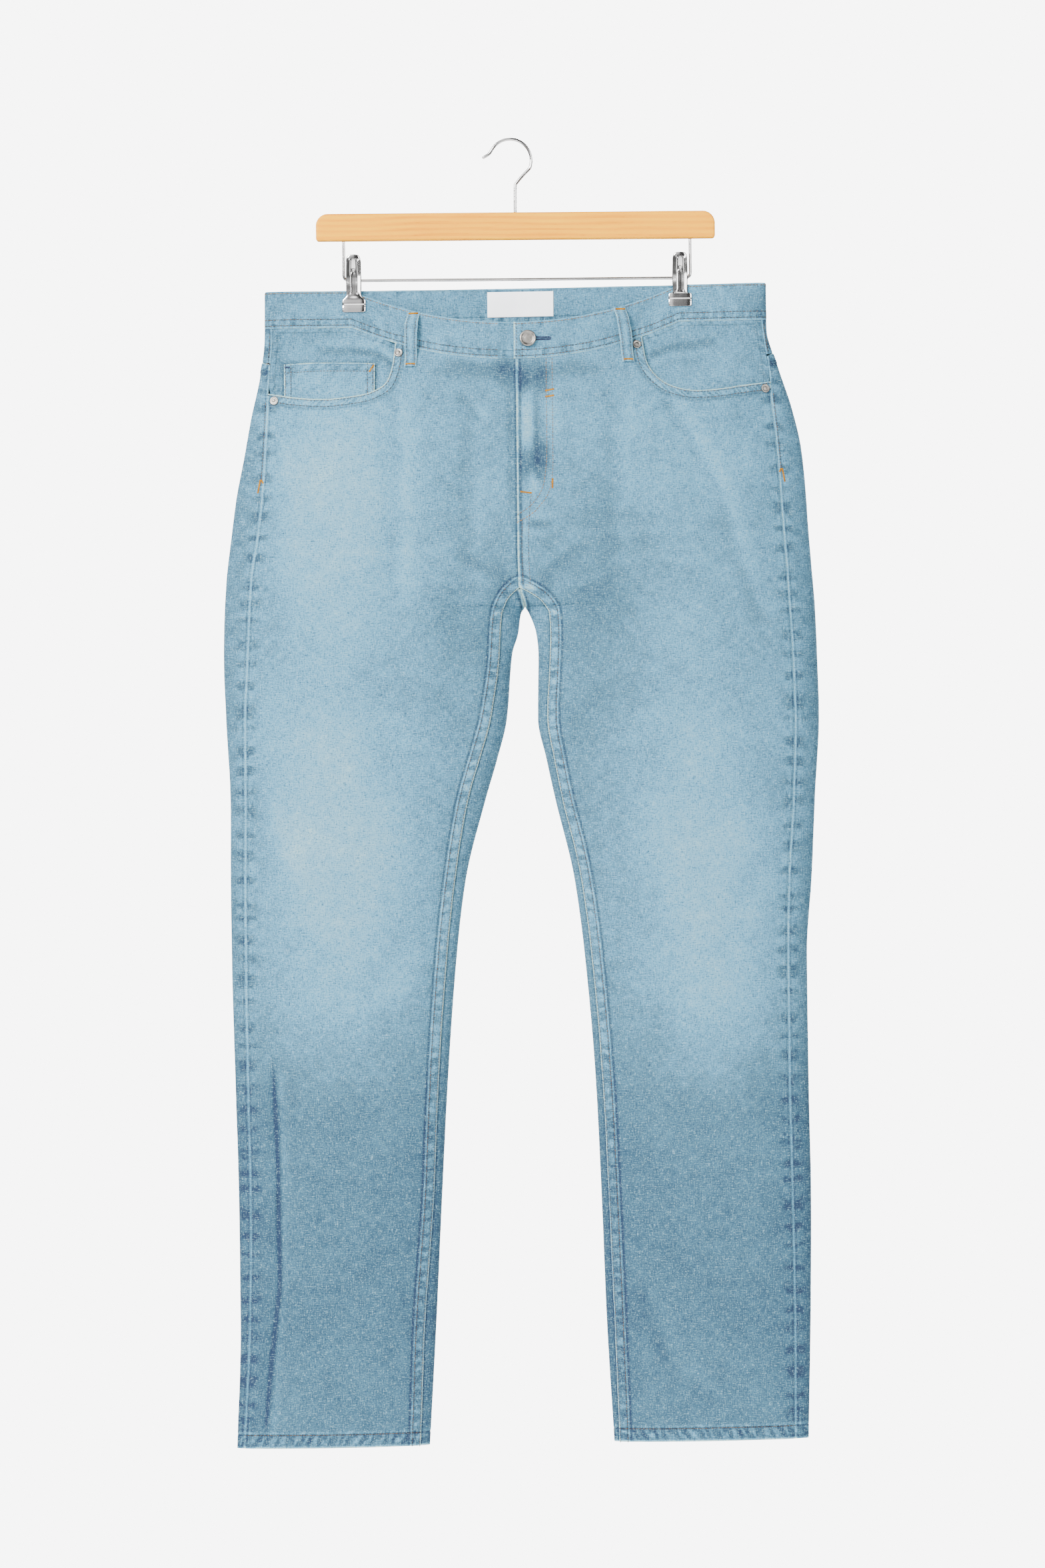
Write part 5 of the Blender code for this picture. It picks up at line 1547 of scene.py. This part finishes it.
def sew(piece, colour, rows=(), bars=()):
    """Lays stitches on a piece along rows, and close together across bars, all as one mesh."""
    tree = BVHTree.FromObject(piece, bpy.context.evaluated_depsgraph_get())
    seats = []
    for lines, size, crosswise in ((rows, STITCH, False), (bars, BAR_STITCH, True)):
        for points, facing in lines:
            runs = directions(points)
            if crosswise:
                runs = np.cross(facing, runs)
            for point, out, run in zip(points, facing, runs):
                hit = tree.ray_cast(Vector(point + out * 0.005), Vector(-out), 0.011)[0]
                if hit is not None:
                    seat = np.array(hit) + out * size["lift"]
                    seats.append((seat, run, out, size["length"] / 2, size["width"] / 2))
    bpy.ops.object.select_all(action="DESELECT")
    bpy.ops.mesh.primitive_uv_sphere_add(segments=6, ring_count=4, radius=1.0)
    made = bpy.context.object
    made.name = piece.name.replace("_cloth", "") + "_" + colour + "_thread"
    count = len(made.data.vertices)
    apply_modifier(made, "ARRAY", count=len(seats), use_relative_offset=False)
    ball = np.empty(len(made.data.vertices) * 3)
    made.data.vertices.foreach_get("co", ball)
    ball = ball.reshape(len(seats), count, 3)
    centre, run, out = (np.array([seat[i] for seat in seats])[:, None, :] for i in range(3))
    long, wide = (np.array([seat[i] for seat in seats])[:, None, None] for i in (3, 4))
    aside = np.cross(out, run)
    laid = centre + run * ball[:, :, 2:] * long + (aside * ball[:, :, :1] + out * ball[:, :, 1:2]) * wide
    made.data.vertices.foreach_set("co", laid.ravel())
    shade = np.repeat((np.sin(np.arange(len(seats)) * 12.9898) * 43758.5453) % 1.0, count)
    made.data.attributes.new("shade", "FLOAT", "POINT").data.foreach_set("value", shade)
    bare(made.data).materials.append(THREADS[colour])
    made.data.shade_smooth()
    made.data.update()
    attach(made, "root")
    return made


def row_on(side, face, line, shift=0.0, pitch=STITCH["pitch"]):
    """A row along a line of (distance out, drop) points, or `shift` to its left as it runs."""
    x, drop = smooth_line(line, spacing=pitch).T
    if shift:
        run_x, run_d = np.gradient(x), np.gradient(drop)
        length = np.hypot(run_x, run_d)
        x, drop = x + shift * run_d / length, drop - shift * run_x / length
    q = across(side, side * x, drop)
    return cloth_point(side, face, q, drop), normal(side, face, q, drop)


def in_metres(line):
    """A line given in millimetres."""
    return [(x / 1000, drop / 1000) for x, drop in line]


def bar_on(side, face, *line):
    """A bar of close stitches along a line of (distance out, drop) points in millimetres."""
    return row_on(side, face, in_metres(line), pitch=BAR_STITCH["pitch"])


# The fly's rows and bars and the rows over the crotch, in millimetres out and down.
J_ROWS = (
    ((30, 74), (30, 120), (30, 160), (29, 182), (25, 203), (14, 219), (1, 228)),
    ((36, 74), (36, 120), (36, 160), (35.5, 186), (31, 208), (18, 225)),
)
J_END = ((18, 225), (10, 230.5), (1, 235.5))
FLY_BARS = (
    ((29, 105.5), (37.5, 104)), ((29, 111.5), (37.5, 110.5)),
    ((35.5, 193), (35.2, 202.5)), ((3.5, 205.5), (14.5, 207)),
)
HEM_STITCHING = 0.013
CROTCH_ROWS = (((5, 234), (4.5, 262), (5.5, 296)), ((14, 210), (12, 232), (11, 262), (12.5, 296)))
# The bars at each side seam, in millimetres out from the seam and down.
SIDE_BARS = {
    RIGHT: (((-2.5, 72), (3, 72)), ((3, 188), (5.5, 201)), ((2, 188), (-3.5, 199))),
    LEFT: (((-2.5, 72), (3, 72)), ((3, 186), (5.5, 199)), ((2, 186), (-3.5, 197))),
}


def two_rows(side, face, line, near, far):
    """Two rows beside a line, at two distances to its left as it runs."""
    return [row_on(side, face, line, near), row_on(side, face, line, far)]


def hem_row(side, face, inner, outer):
    """The row along the upper edge of the hem, between two distances out."""
    return row_on(side, face, [(x, HEM - HEM_STITCHING) for x in spread(inner + 0.001, outer - 0.001, 8)])


def side_row(side, start, end, count):
    """The edge row beside the side seam, between two drops."""
    drops = spread(start, end, count)
    seam = np.stack([np.abs(leg_line("outseam", side, drops)), drops], axis=-1)
    return row_on(side, FRONT, seam, 0.0020)


def centre_rows(start, end, count):
    """The two rows down the centre back, between two drops."""
    return two_rows(LEFT, BACK, [(0.0, drop) for drop in spread(start, end, count)], 0.0020, 0.0080)


def sew_front(side):
    """The seams of one front: the mouth, the inseam, the hem, and on the left the fly."""
    drops = np.concatenate([spread(FRONT_FORK + 0.003, 0.345, 8), spread(0.36, HEM, 30)])
    seam = np.stack([side * leg_line("inseam", side, drops), drops], axis=-1)
    rows = two_rows(side, FRONT, scoop_line(side, SCOOP_STEPS), -0.0019, -0.0077)
    rows += two_rows(side, FRONT, seam, 0.0014, 0.0088)
    rows += [hem_row(side, FRONT, seam[-1][0], np.abs(leg_line("outseam", side, HEM)))]
    piece = FRONTS[side]
    threads = []
    if side == LEFT:
        rows += [row_on(side, FRONT, in_metres(line)) for line in CROTCH_ROWS]
        threads.append(sew(piece, "tan", [row_on(side, FRONT, in_metres(line)) for line in J_ROWS]))
        bars = [bar_on(side, FRONT, *line) for line in FLY_BARS]
        threads.append(sew(piece, "orange", [row_on(side, FRONT, in_metres(J_END))], bars))
    return threads + [sew(piece, "brown", rows)]


def sew_back(side):
    """The seams of one back: along the yoke, down the side to its bar, down the centre, and the hem."""
    x = spread(0.004, 0.245, 20)
    under_yoke = np.stack([x, yoke_seam(x / np.abs(outer_x(side, 0.09)))], axis=-1)
    rows = two_rows(side, BACK, under_yoke, -0.0018, -0.0078) + [side_row(side, 0.112, 0.187, 10)]
    rows += [hem_row(side, BACK, np.abs(inner_x(side, HEM)), np.abs(outer_x(side, HEM)))]
    if side == LEFT:
        rows += centre_rows(0.115, 0.250, 8)
    bars = []
    for line in SIDE_BARS[side]:
        seam_x = 1000 * float(np.abs(leg_line("outseam", side, line[0][1] / 1000)))
        bars.append(bar_on(side, FRONT, *[(seam_x + a, d) for a, d in line]))
    return [sew(BACKS[side], "brown", rows), sew(BACKS[side], "orange", (), bars)]


def band_row(share):
    """A row of stitching right round the waistband at a share down it."""
    found = []
    for side, face in ((LEFT, FRONT), (LEFT, BACK), (RIGHT, BACK), (RIGHT, FRONT)):
        start = 0.019 if (side, face) == (RIGHT, FRONT) else 0.0
        x = np.arange(start, BAND_END - 0.0008, STITCH["pitch"])
        x = np.concatenate([x[x < BAND_END - 0.006], [BAND_END - 0.0045, BAND_END - 0.0015]])
        found.append(band_place(side, face, x, np.full(len(x), share), 0.0))
    return found


# The buttonhole's outline in millimetres: distance out, and above or below the button's middle.
BUTTONHOLE = (
    (20.5, -1.3), (26, -1.0), (33, -1.0), (34.4, 0.0), (33, 1.0), (26, 1.0), (20.5, 1.3),
    (18.6, 1.9), (17.4, 0.6), (17.4, -0.6), (18.6, -1.9), (20.5, -1.3),
)


def buttonhole():
    """The keyhole buttonhole's close navy stitches round its slot."""
    x, off = smooth_line(BUTTONHOLE, spacing=0.36).T
    x = x / 1000
    share = (0.053 + off / 1000 - waist_top(FRONT, x)) / WAISTBAND_HEIGHT
    return band_place(np.full(len(x), LEFT), np.full(len(x), FRONT), x, share, 0.0)


def sew_waistband():
    """The edge row along the top, two rows along the foot, the lapped end's row, and the buttonhole."""
    ends = [band_place(LEFT, FRONT, np.full(10, x), spread(0.07, 0.93, 9), 0.0) for x in (0.0008, 0.0062)]
    brown = sew(WAISTBAND, "brown", band_row(0.925) + band_row(0.765) + ends)
    return [brown, sew(WAISTBAND, "tan", band_row(0.055)), sew(WAISTBAND, "navy", (), [buttonhole()])]


def sew_back_pocket(side):
    """Two rows round the sides and foot, and the mouth's hem."""
    top, foot = BACK_POCKET["top"], BACK_POCKET["foot"]
    corners = [top[0], *foot, top[1]]
    sides = list(zip(corners, corners[1:]))
    rows = [row_on(side, BACK, line, inset) for inset in (0.0018, 0.0075) for line in sides]
    (ax, ad), (bx, bd) = top
    for under in (0.0022, 0.0125):
        rows.append(row_on(side, BACK, [(ax + 0.002, ad + under), (bx - 0.002, bd + under)]))
    bars = [
        bar_on(side, BACK, (1000 * x + 2 * way, 1000 * drop + 1), (1000 * x + 3 * way, 1000 * drop + 9))
        for way, (x, drop) in zip((1, -1), top)
    ]
    return [sew(BACK_POCKETS[side], "brown", rows), sew(BACK_POCKETS[side], "orange", (), bars)]


def sew_coin_pocket():
    """The hem, two rows down each side, and its bars."""
    near, far, top, low = (1000 * COIN[key] for key in ("near", "far", "top", "bottom"))
    rows = [row_on(RIGHT, FRONT, in_metres([(near + 1, top + 8.6), (186, top + 7.6), (far - 1, top + 8.6)]))]
    for x in (near + 1.8, near + 7.2, far - 7.2, far - 1.8):
        rows.append(row_on(RIGHT, FRONT, in_metres([(x, top + 1), (x, 90), (x, low)])))
    bars = [bar_on(RIGHT, FRONT, (near + 1, top + 2), (near + 5.5, top + 9))]
    navy = [bar_on(RIGHT, FRONT, (far - 6, top + 3.5), (far - 1, top + 3.0))]
    threads = (("brown", rows, ()), ("orange", (), bars), ("navy", (), navy))
    return [sew(COIN_POCKET, *thread_rows) for thread_rows in threads]


def sew_loop(node):
    """Two rows down the loop, and a bar across each end."""
    row = LOOPS[node]
    t = np.arange(0.03, 0.98, STITCH["pitch"] / LOOP_LENGTH)
    c = np.arange(-0.74, 0.75, 2 * BAR_STITCH["pitch"] / LOOP_WIDTH)
    rows = [loop_place(*row, t, np.full(len(t), at)) for at in (-0.66, 0.66)]
    bars = [loop_place(*row, np.full(len(c), at), c) for at in (0.035, 0.955)]
    return [sew(BELT_LOOPS[node], "brown", rows), sew(BELT_LOOPS[node], "orange", (), bars)]


def sew_yoke(side):
    """The centre back's rows on the left yoke, and the side seam's edge row."""
    rows = [side_row(side, 0.042, 0.094, 8)]
    if side == LEFT:
        rows += centre_rows(0.040, 0.110, 6)
    return [sew(YOKES[side], "brown", rows)]


def zip_teeth():
    """Two rows of teeth that lie between each other."""
    rows = []
    for x, start in ((-1.1, 0.0), (1.1, 0.00115)):
        drops = np.arange(ZIP["top"] + 0.004 + start, ZIP["bottom"] - 0.004, 0.0023)
        q = across(LEFT, np.full(len(drops), x / 1000), drops)
        rows.append((cloth_point(LEFT, FRONT, q, drops), normal(LEFT, FRONT, q, drops)))
    return sew(ZIP_TAPE, "brass", (), rows)


for side in (RIGHT, LEFT):
    sew_front(side)
    sew_yoke(side)
    sew_back(side)
    sew_back_pocket(side)
for node, loop in BELT_LOOPS.items():
    sew_loop(node)
sew_coin_pocket()
sew_waistband()
zip_teeth()

# The button and rivets: the button is a turned nickel cap on a short shank through the band, and each rivet a
# pressed disc with a raised ring and a nub at its middle.
BUTTON_AT = (0.012, 0.053)
BUTTON_PROFILE = (
    (0.0, 0.00235), (0.0016, 0.00232), (0.0030, 0.00222), (0.0042, 0.00215), (0.0052, 0.00225),
    (0.0060, 0.00270), (0.0067, 0.00320), (0.0073, 0.00330), (0.0079, 0.00300), (0.0083, 0.00220),
    (0.0082, 0.00150), (0.0070, 0.0010),
    (0.0045, 0.0008), (0.0042, -0.0004), (0.0, -0.0004),
)
RIVET_PROFILE = (
    (0.0, 0.00165), (0.0008, 0.00160), (0.0014, 0.00120), (0.0017, 0.00070), (0.0023, 0.00060),
    (0.0030, 0.00085), (0.0037, 0.00100), (0.0042, 0.00075), (0.0044, 0.00015), (0.0042, -0.0005),
    (0.0, -0.0005),
)
RIVETS = {
    "rivet_right_inner": (RIGHT, 0.1166, 0.0640), "rivet_right_outer": (RIGHT, 0.2405, 0.1095),
    "rivet_left_inner": (LEFT, 0.1205, 0.0600), "rivet_left_outer": (LEFT, 0.2480, 0.1060),
}

nickel = Finish("worn_nickel", Metallic=1.0)
nickel_where = nickel.in_piece()
nickel_cloud = nickel.noise(nickel_where, 420.0, 4.0, 0.65)
nickel_speck = nickel.noise(nickel_where, 1700.0, 2.0)
nickel_level = nickel_cloud * 1.1 + nickel_speck * 0.3 + 0.5
nickel.paint(
    Base_Color=nickel.between(nickel_level, (0.05, 0.05, 0.055), (0.40, 0.38, 0.34)),
    Roughness=nickel_level * -0.20 + 0.46,
)
nickel.raised(nickel_speck * 0.00012)


# How near the points of a round piece's closing edges lie when they are merged.
WELD = 0.000004


def turned(name, profile, at, facing):
    """A round piece turned from (radius, height) pairs, set at a point and facing a direction."""
    radius, height = smooth_line(profile, spacing=0.00030).T
    radius = np.maximum(radius, 0.0)
    radius[0] = radius[-1] = 0.0
    facing = facing / np.linalg.norm(facing)
    aside = np.cross(facing, (1.0, 0.0, 0.3))
    aside = aside / np.linalg.norm(aside)
    upright = np.cross(facing, aside)
    angle = spread(0, 2 * np.pi, 36)[None, :, None]
    ring = aside * np.cos(angle) + upright * np.sin(angle)
    points = at + facing * height[:, None, None] + radius[:, None, None] * ring
    middle = points.mean(axis=(0, 1))
    piece = grid_piece(name, points, points - middle, angle[..., 0] * 0.005, height[:, None])
    return closed(piece, WELD, nickel.material, 35)


for node, (side, x, drop, profile, proud) in {
    "button": (LEFT, *BUTTON_AT, BUTTON_PROFILE, WAISTBAND_PROUD),
    **{rivet: (*row, RIVET_PROFILE, 0.0004) for rivet, row in RIVETS.items()},
}.items():
    q = across(side, side * x, drop)
    at = cloth_point(side, FRONT, q, drop, proud + 0.0005)
    fitting = turned(node + "_metal", profile, at, normal(side, FRONT, q, drop))
    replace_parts(fitting, node)

# The hanger's bar: one length of beech with rounded top corners and eased edges under satin varnish.
BAR = {
    "length": 0.398, "height": 0.027, "thickness": 0.013,
    "top": -0.072, "top_radius": 0.012, "foot_radius": 0.003,
}
BAR_X = 0.0047
BAR_EASED = 0.0022

beech = Finish("varnished_beech", Roughness=0.42, Specular_IOR_Level=0.06)
bx, by, bz = beech.parts(beech.in_piece())
wander = beech.noise(beech.at(bx * 7, bz * 26, by * 20), 1.0, 2.0)
rings = (bz * 1050 + by * 300 + wander * 9).sine()
streak = beech.noise(beech.at(bx * 16, bz * 620, by * 620), 1.0, 3.0, 0.6)
flecks = beech.noise(beech.at(bx * 120, bz * 1500, by * 1500), 1.0, 2.0, 0.6)
grain = rings * 0.16 + streak * 0.75 + flecks.rise(0.10, 0.22) * -0.25 + wander * 0.35 + 0.55
BEECH_TONES = ((0.0, (0.50, 0.15, 0.0)), (0.45, (0.70, 0.27, 0.0)), (1.0, (0.78, 0.38, 0.0)))
beech.paint(Base_Color=beech.colours(grain, BEECH_TONES, 0.0, 1.0), Roughness=streak * 0.25 + 0.36)
beech.raised(streak * 0.00012 + rings * 0.00002)


def bar():
    """The bar, as rings that run round it, from the middle of its front to the middle of its back."""
    left, right = BAR_X - BAR["length"] / 2, BAR_X + BAR["length"] / 2
    top, foot = BAR["top"], BAR["top"] - BAR["height"]
    big, small = BAR["top_radius"], BAR["foot_radius"]
    corners = (
        ((right - big, top - big), big, 0), ((left + big, top - big), big, 90),
        ((left + small, foot + small), small, 180), ((right - small, foot + small), small, 270),
    )
    outline = []
    for (cx, cz), radius, start in corners:
        for angle in np.radians(start + spread(0, 90, 14)):
            outline.append((cx, cz, radius, math.cos(angle), math.sin(angle)))
    cx, cz, radius, ux, uz = np.array(outline + outline[:1]).T
    middle_z = (top + foot) / 2
    spine = BAR["height"] / 2
    half = BAR["thickness"] / 2 - BAR_EASED
    rows = []
    bends = [(1.0, 0.0, -1), (0.5, 0.0, -1), (0.0, 0.0, -1)]
    bends += [(0.0, angle, -1) for angle in spread(0, 90, 6)[1:]]
    bends += [(0.0, angle, 1) for angle in spread(90, 0, 6)] + [(0.5, 0.0, 1), (1.0, 0.0, 1)]
    for to_spine, angle, sign in bends:
        bend = math.radians(angle)
        reach = radius - BAR_EASED * (1 - math.sin(bend))
        x, z = cx + reach * ux, cz + reach * uz
        x = x + (np.clip(x, left + spine, right - spine) - x) * to_spine
        z = z + (middle_z - z) * to_spine
        y = sign * (half + BAR_EASED * math.cos(bend)) + 0 * x
        rows.append(np.stack([x, y, z], axis=-1))
    points = np.stack(rows)
    outward = points - np.array([BAR_X, 0.0, middle_z])
    outward[..., 0] = 0.0
    piece = grid_piece("hanger_bar_wood", points, outward, points[..., 0], points[..., 2])
    piece = closed(piece, 0.00001, beech.material, 30)
    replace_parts(piece, "hanger_bar")


bar()

# The hanger's metal: a hook of bent wire let into the bar, a wide U of the same wire below it, and two
# pressed clips that slide on that wire, each of two plates with a coiled spring between. All is chrome.
WIRE_RADIUS = 0.0015
HOOK_RADIUS = 0.021
HOOK_ARC = (-24, 148)
HOOK_TIP = (-0.0265, -0.0165)
HOOK_TURN = ((0.0050, -0.0450), (0.0065, -0.0420), (0.0120, -0.0355))
RAIL_WIRE_Z = -0.1385
RAIL_WIRE_ENDS = (-0.1669, 0.1789)
RAIL_BEND = 0.005

chrome = Finish("chrome_plate", Metallic=1.0)
chrome_where = chrome.in_piece()
chrome_cloud = chrome.noise(chrome_where, 60.0, 3.0)
chrome_speck = chrome.noise(chrome_where, 1200.0, 2.0)
chrome.paint(
    Base_Color=chrome.between(chrome_cloud + 0.5, (0.34, 0.34, 0.34), (0.62, 0.61, 0.60)),
    Roughness=chrome_cloud * 0.10 + 0.15,
)
chrome.raised(chrome_speck * 0.00001)


def arc(centre, radius, start, end, count):
    """Points along an arc in the X and Z plane, from one angle to another in degrees."""
    angles = np.radians(spread(start, end, count))
    return [(centre[0] + radius * math.cos(a), 0.0, centre[1] + radius * math.sin(a)) for a in angles]


def wire(name, line, radius, spacing, segments=14):
    """A round wire along a smooth line, with domed ends."""
    path = smooth_line(line, spacing=spacing)
    runs = directions(path)
    aside = np.empty_like(runs)
    last = np.cross(runs[0], (0.0, 1.0, 0.02))
    for i, run in enumerate(runs):
        last = last - run * (last @ run)
        last = last / np.linalg.norm(last)
        aside[i] = last
    above = np.cross(runs, aside)
    caps = np.sin(np.radians([0, 30, 60]))
    radii = np.concatenate([caps * radius, np.full(len(path), radius), caps[::-1] * radius])
    grow = radius * (1 - np.cos(np.radians([0, 30, 60])))
    first = path[0] - runs[0] * (radius - grow)[:, None]
    final = path[-1] + runs[-1] * (radius - grow[::-1])[:, None]
    path = np.vstack([first, path, final])
    aside = np.vstack([aside[:1]] * 3 + [aside] + [aside[-1:]] * 3)
    above = np.vstack([above[:1]] * 3 + [above] + [above[-1:]] * 3)
    angle = spread(0, 2 * np.pi, segments)[None, :, None]
    ring = aside[:, None] * np.cos(angle) + above[:, None] * np.sin(angle)
    points = path[:, None] + ring * radii[:, None, None]
    along = np.arange(len(path))[:, None] * spacing
    piece = grid_piece(name, points, ring + 0 * points, angle[..., 0] * radius, along)
    piece = closed(piece, WELD, chrome.material, 60)
    return piece


foot = BAR["top"] - 0.0005
hook_line = [(BAR_X, 0.0, foot), (BAR_X, 0.0, foot + 0.012)]
hook_line += [(x, 0.0, z) for x, z in HOOK_TURN]
hook_line += arc((0.0, WIRE_RADIUS - HOOK_RADIUS), HOOK_RADIUS, *HOOK_ARC, 14)
tip = np.array((HOOK_TIP[0], 0.0, HOOK_TIP[1]))
before_tip = np.array(hook_line[-1]) * 0.5 + tip * 0.5 + np.array((0.0009, 0.0, -0.0009))
hook_line += [before_tip, tip]
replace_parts(wire("hanger_hook_wire", hook_line, WIRE_RADIUS, 0.0016), "hanger_hook")

left, right = RAIL_WIRE_ENDS
top, low = BAR["top"] - BAR["height"] + 0.0008, RAIL_WIRE_Z
rail_line = [(left, 0.0, top), (left, 0.0, (top + low) / 2)]
rail_line += arc((left + RAIL_BEND, low + RAIL_BEND), RAIL_BEND, 180, 270, 5)
rail_line += [(left + (right - left) * t, 0.0, low) for t in (0.15, 0.4, 0.6, 0.85)]
rail_line += arc((right - RAIL_BEND, low + RAIL_BEND), RAIL_BEND, 270, 360, 5)
rail_line += [(right, 0.0, (top + low) / 2), (right, 0.0, top)]
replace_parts(wire("trouser_wire_steel", rail_line, WIRE_RADIUS, 0.0022), "trouser_wire")

CLIP_X = {"right": -0.1570, "left": 0.1685}
CLIP_PLATE = 0.0012
SPRING = {"radius": 0.0031, "length": 0.0080, "turns": 5.5, "wire": 0.0007}
# A clip's plate from its handle to its shoe, in millimetres: height over the wire, half width, inner face.
CLIP_LINES = (
    (25.2, 2.2, 8.4), (24.9, 4.2, 8.4), (24.0, 5.6, 8.4), (21.5, 6.9, 8.2), (16.5, 7.1, 7.3),
    (12.0, 7.3, 6.4), (4.5, 7.5, 4.9), (0.0, 7.5, 4.6), (-4.5, 7.5, 4.5), (-9.5, 7.4, 4.1),
    (-13.5, 7.4, 3.85), (-15.4, 7.9, 3.7), (-17.2, 10.9, 3.62), (-18.4, 11.5, 3.6), (-23.0, 11.6, 3.6),
    (-28.6, 11.5, 3.6), (-29.7, 10.9, 3.6), (-30.0, 10.0, 3.6),
)


def clip_plate(which, sign):
    """One pressed plate: a ribbed and dimpled handle, a waist at the wire and a wide shoe on the cloth."""
    above, half, inner = (smooth_line(CLIP_LINES, spacing=0.75) / 1000).T[:, :, None]
    half = np.maximum(half, 0.002)
    c = spread(-1, 1, 26)
    shoe = smooth_step((-0.0150 - above) / 0.0022)
    press = 0.00055 * (hump(c, 0.50, 0.15) + np.exp(-(((c + 0.50) / 0.15) ** 2)))
    press = press * smooth_step((above + 0.0145) / 0.003) * (1 - smooth_step((above - 0.019) / 0.003))
    dimple = -0.0007 * np.exp(-((c * half / 0.0021) ** 2) - ((above - 0.0085) / 0.0021) ** 2)
    crown = 0.0005 * (1 - c * c) * (1 - shoe)
    groove = -0.00045 * np.exp(-(((above + 0.0232) / 0.0010) ** 2)) * shoe
    y = sign * (inner + CLIP_PLATE + press + dimple + crown + groove - 0.0006 * np.abs(c) ** 9)
    x = CLIP_X[which] + half * c
    lean = WAIST_LEAN * (CLIP_X[which] - GARMENT_X) * shoe
    points = np.stack([x, y, RAIL_WIRE_Z + above + lean + 0 * c], axis=-1)
    outward = np.zeros(points.shape)
    outward[..., 1] = sign
    name = "clip_" + ("front_" if sign < 0 else "back_") + which
    piece = grid_piece(name + "_plate", points, outward, x, above + 0 * c)
    finish_sheet(piece, 0.0010, (chrome.material,), eased=0.00025, angle=50)
    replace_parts(piece, name)


for which, clip_x in CLIP_X.items():
    clip_plate(which, -1)
    clip_plate(which, 1)
    turn = spread(0, SPRING["turns"] * 2 * math.pi, 88)
    coil_x = clip_x - SPRING["length"] / 2 + SPRING["length"] * turn / turn[-1]
    coil_z = RAIL_WIRE_Z + SPRING["radius"] * np.sin(turn)
    coil = np.stack([coil_x, SPRING["radius"] * np.cos(turn), coil_z], axis=-1)
    node = "clip_spring_" + which
    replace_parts(wire(node + "_coil", coil, SPRING["wire"], 0.0009, 8), node)
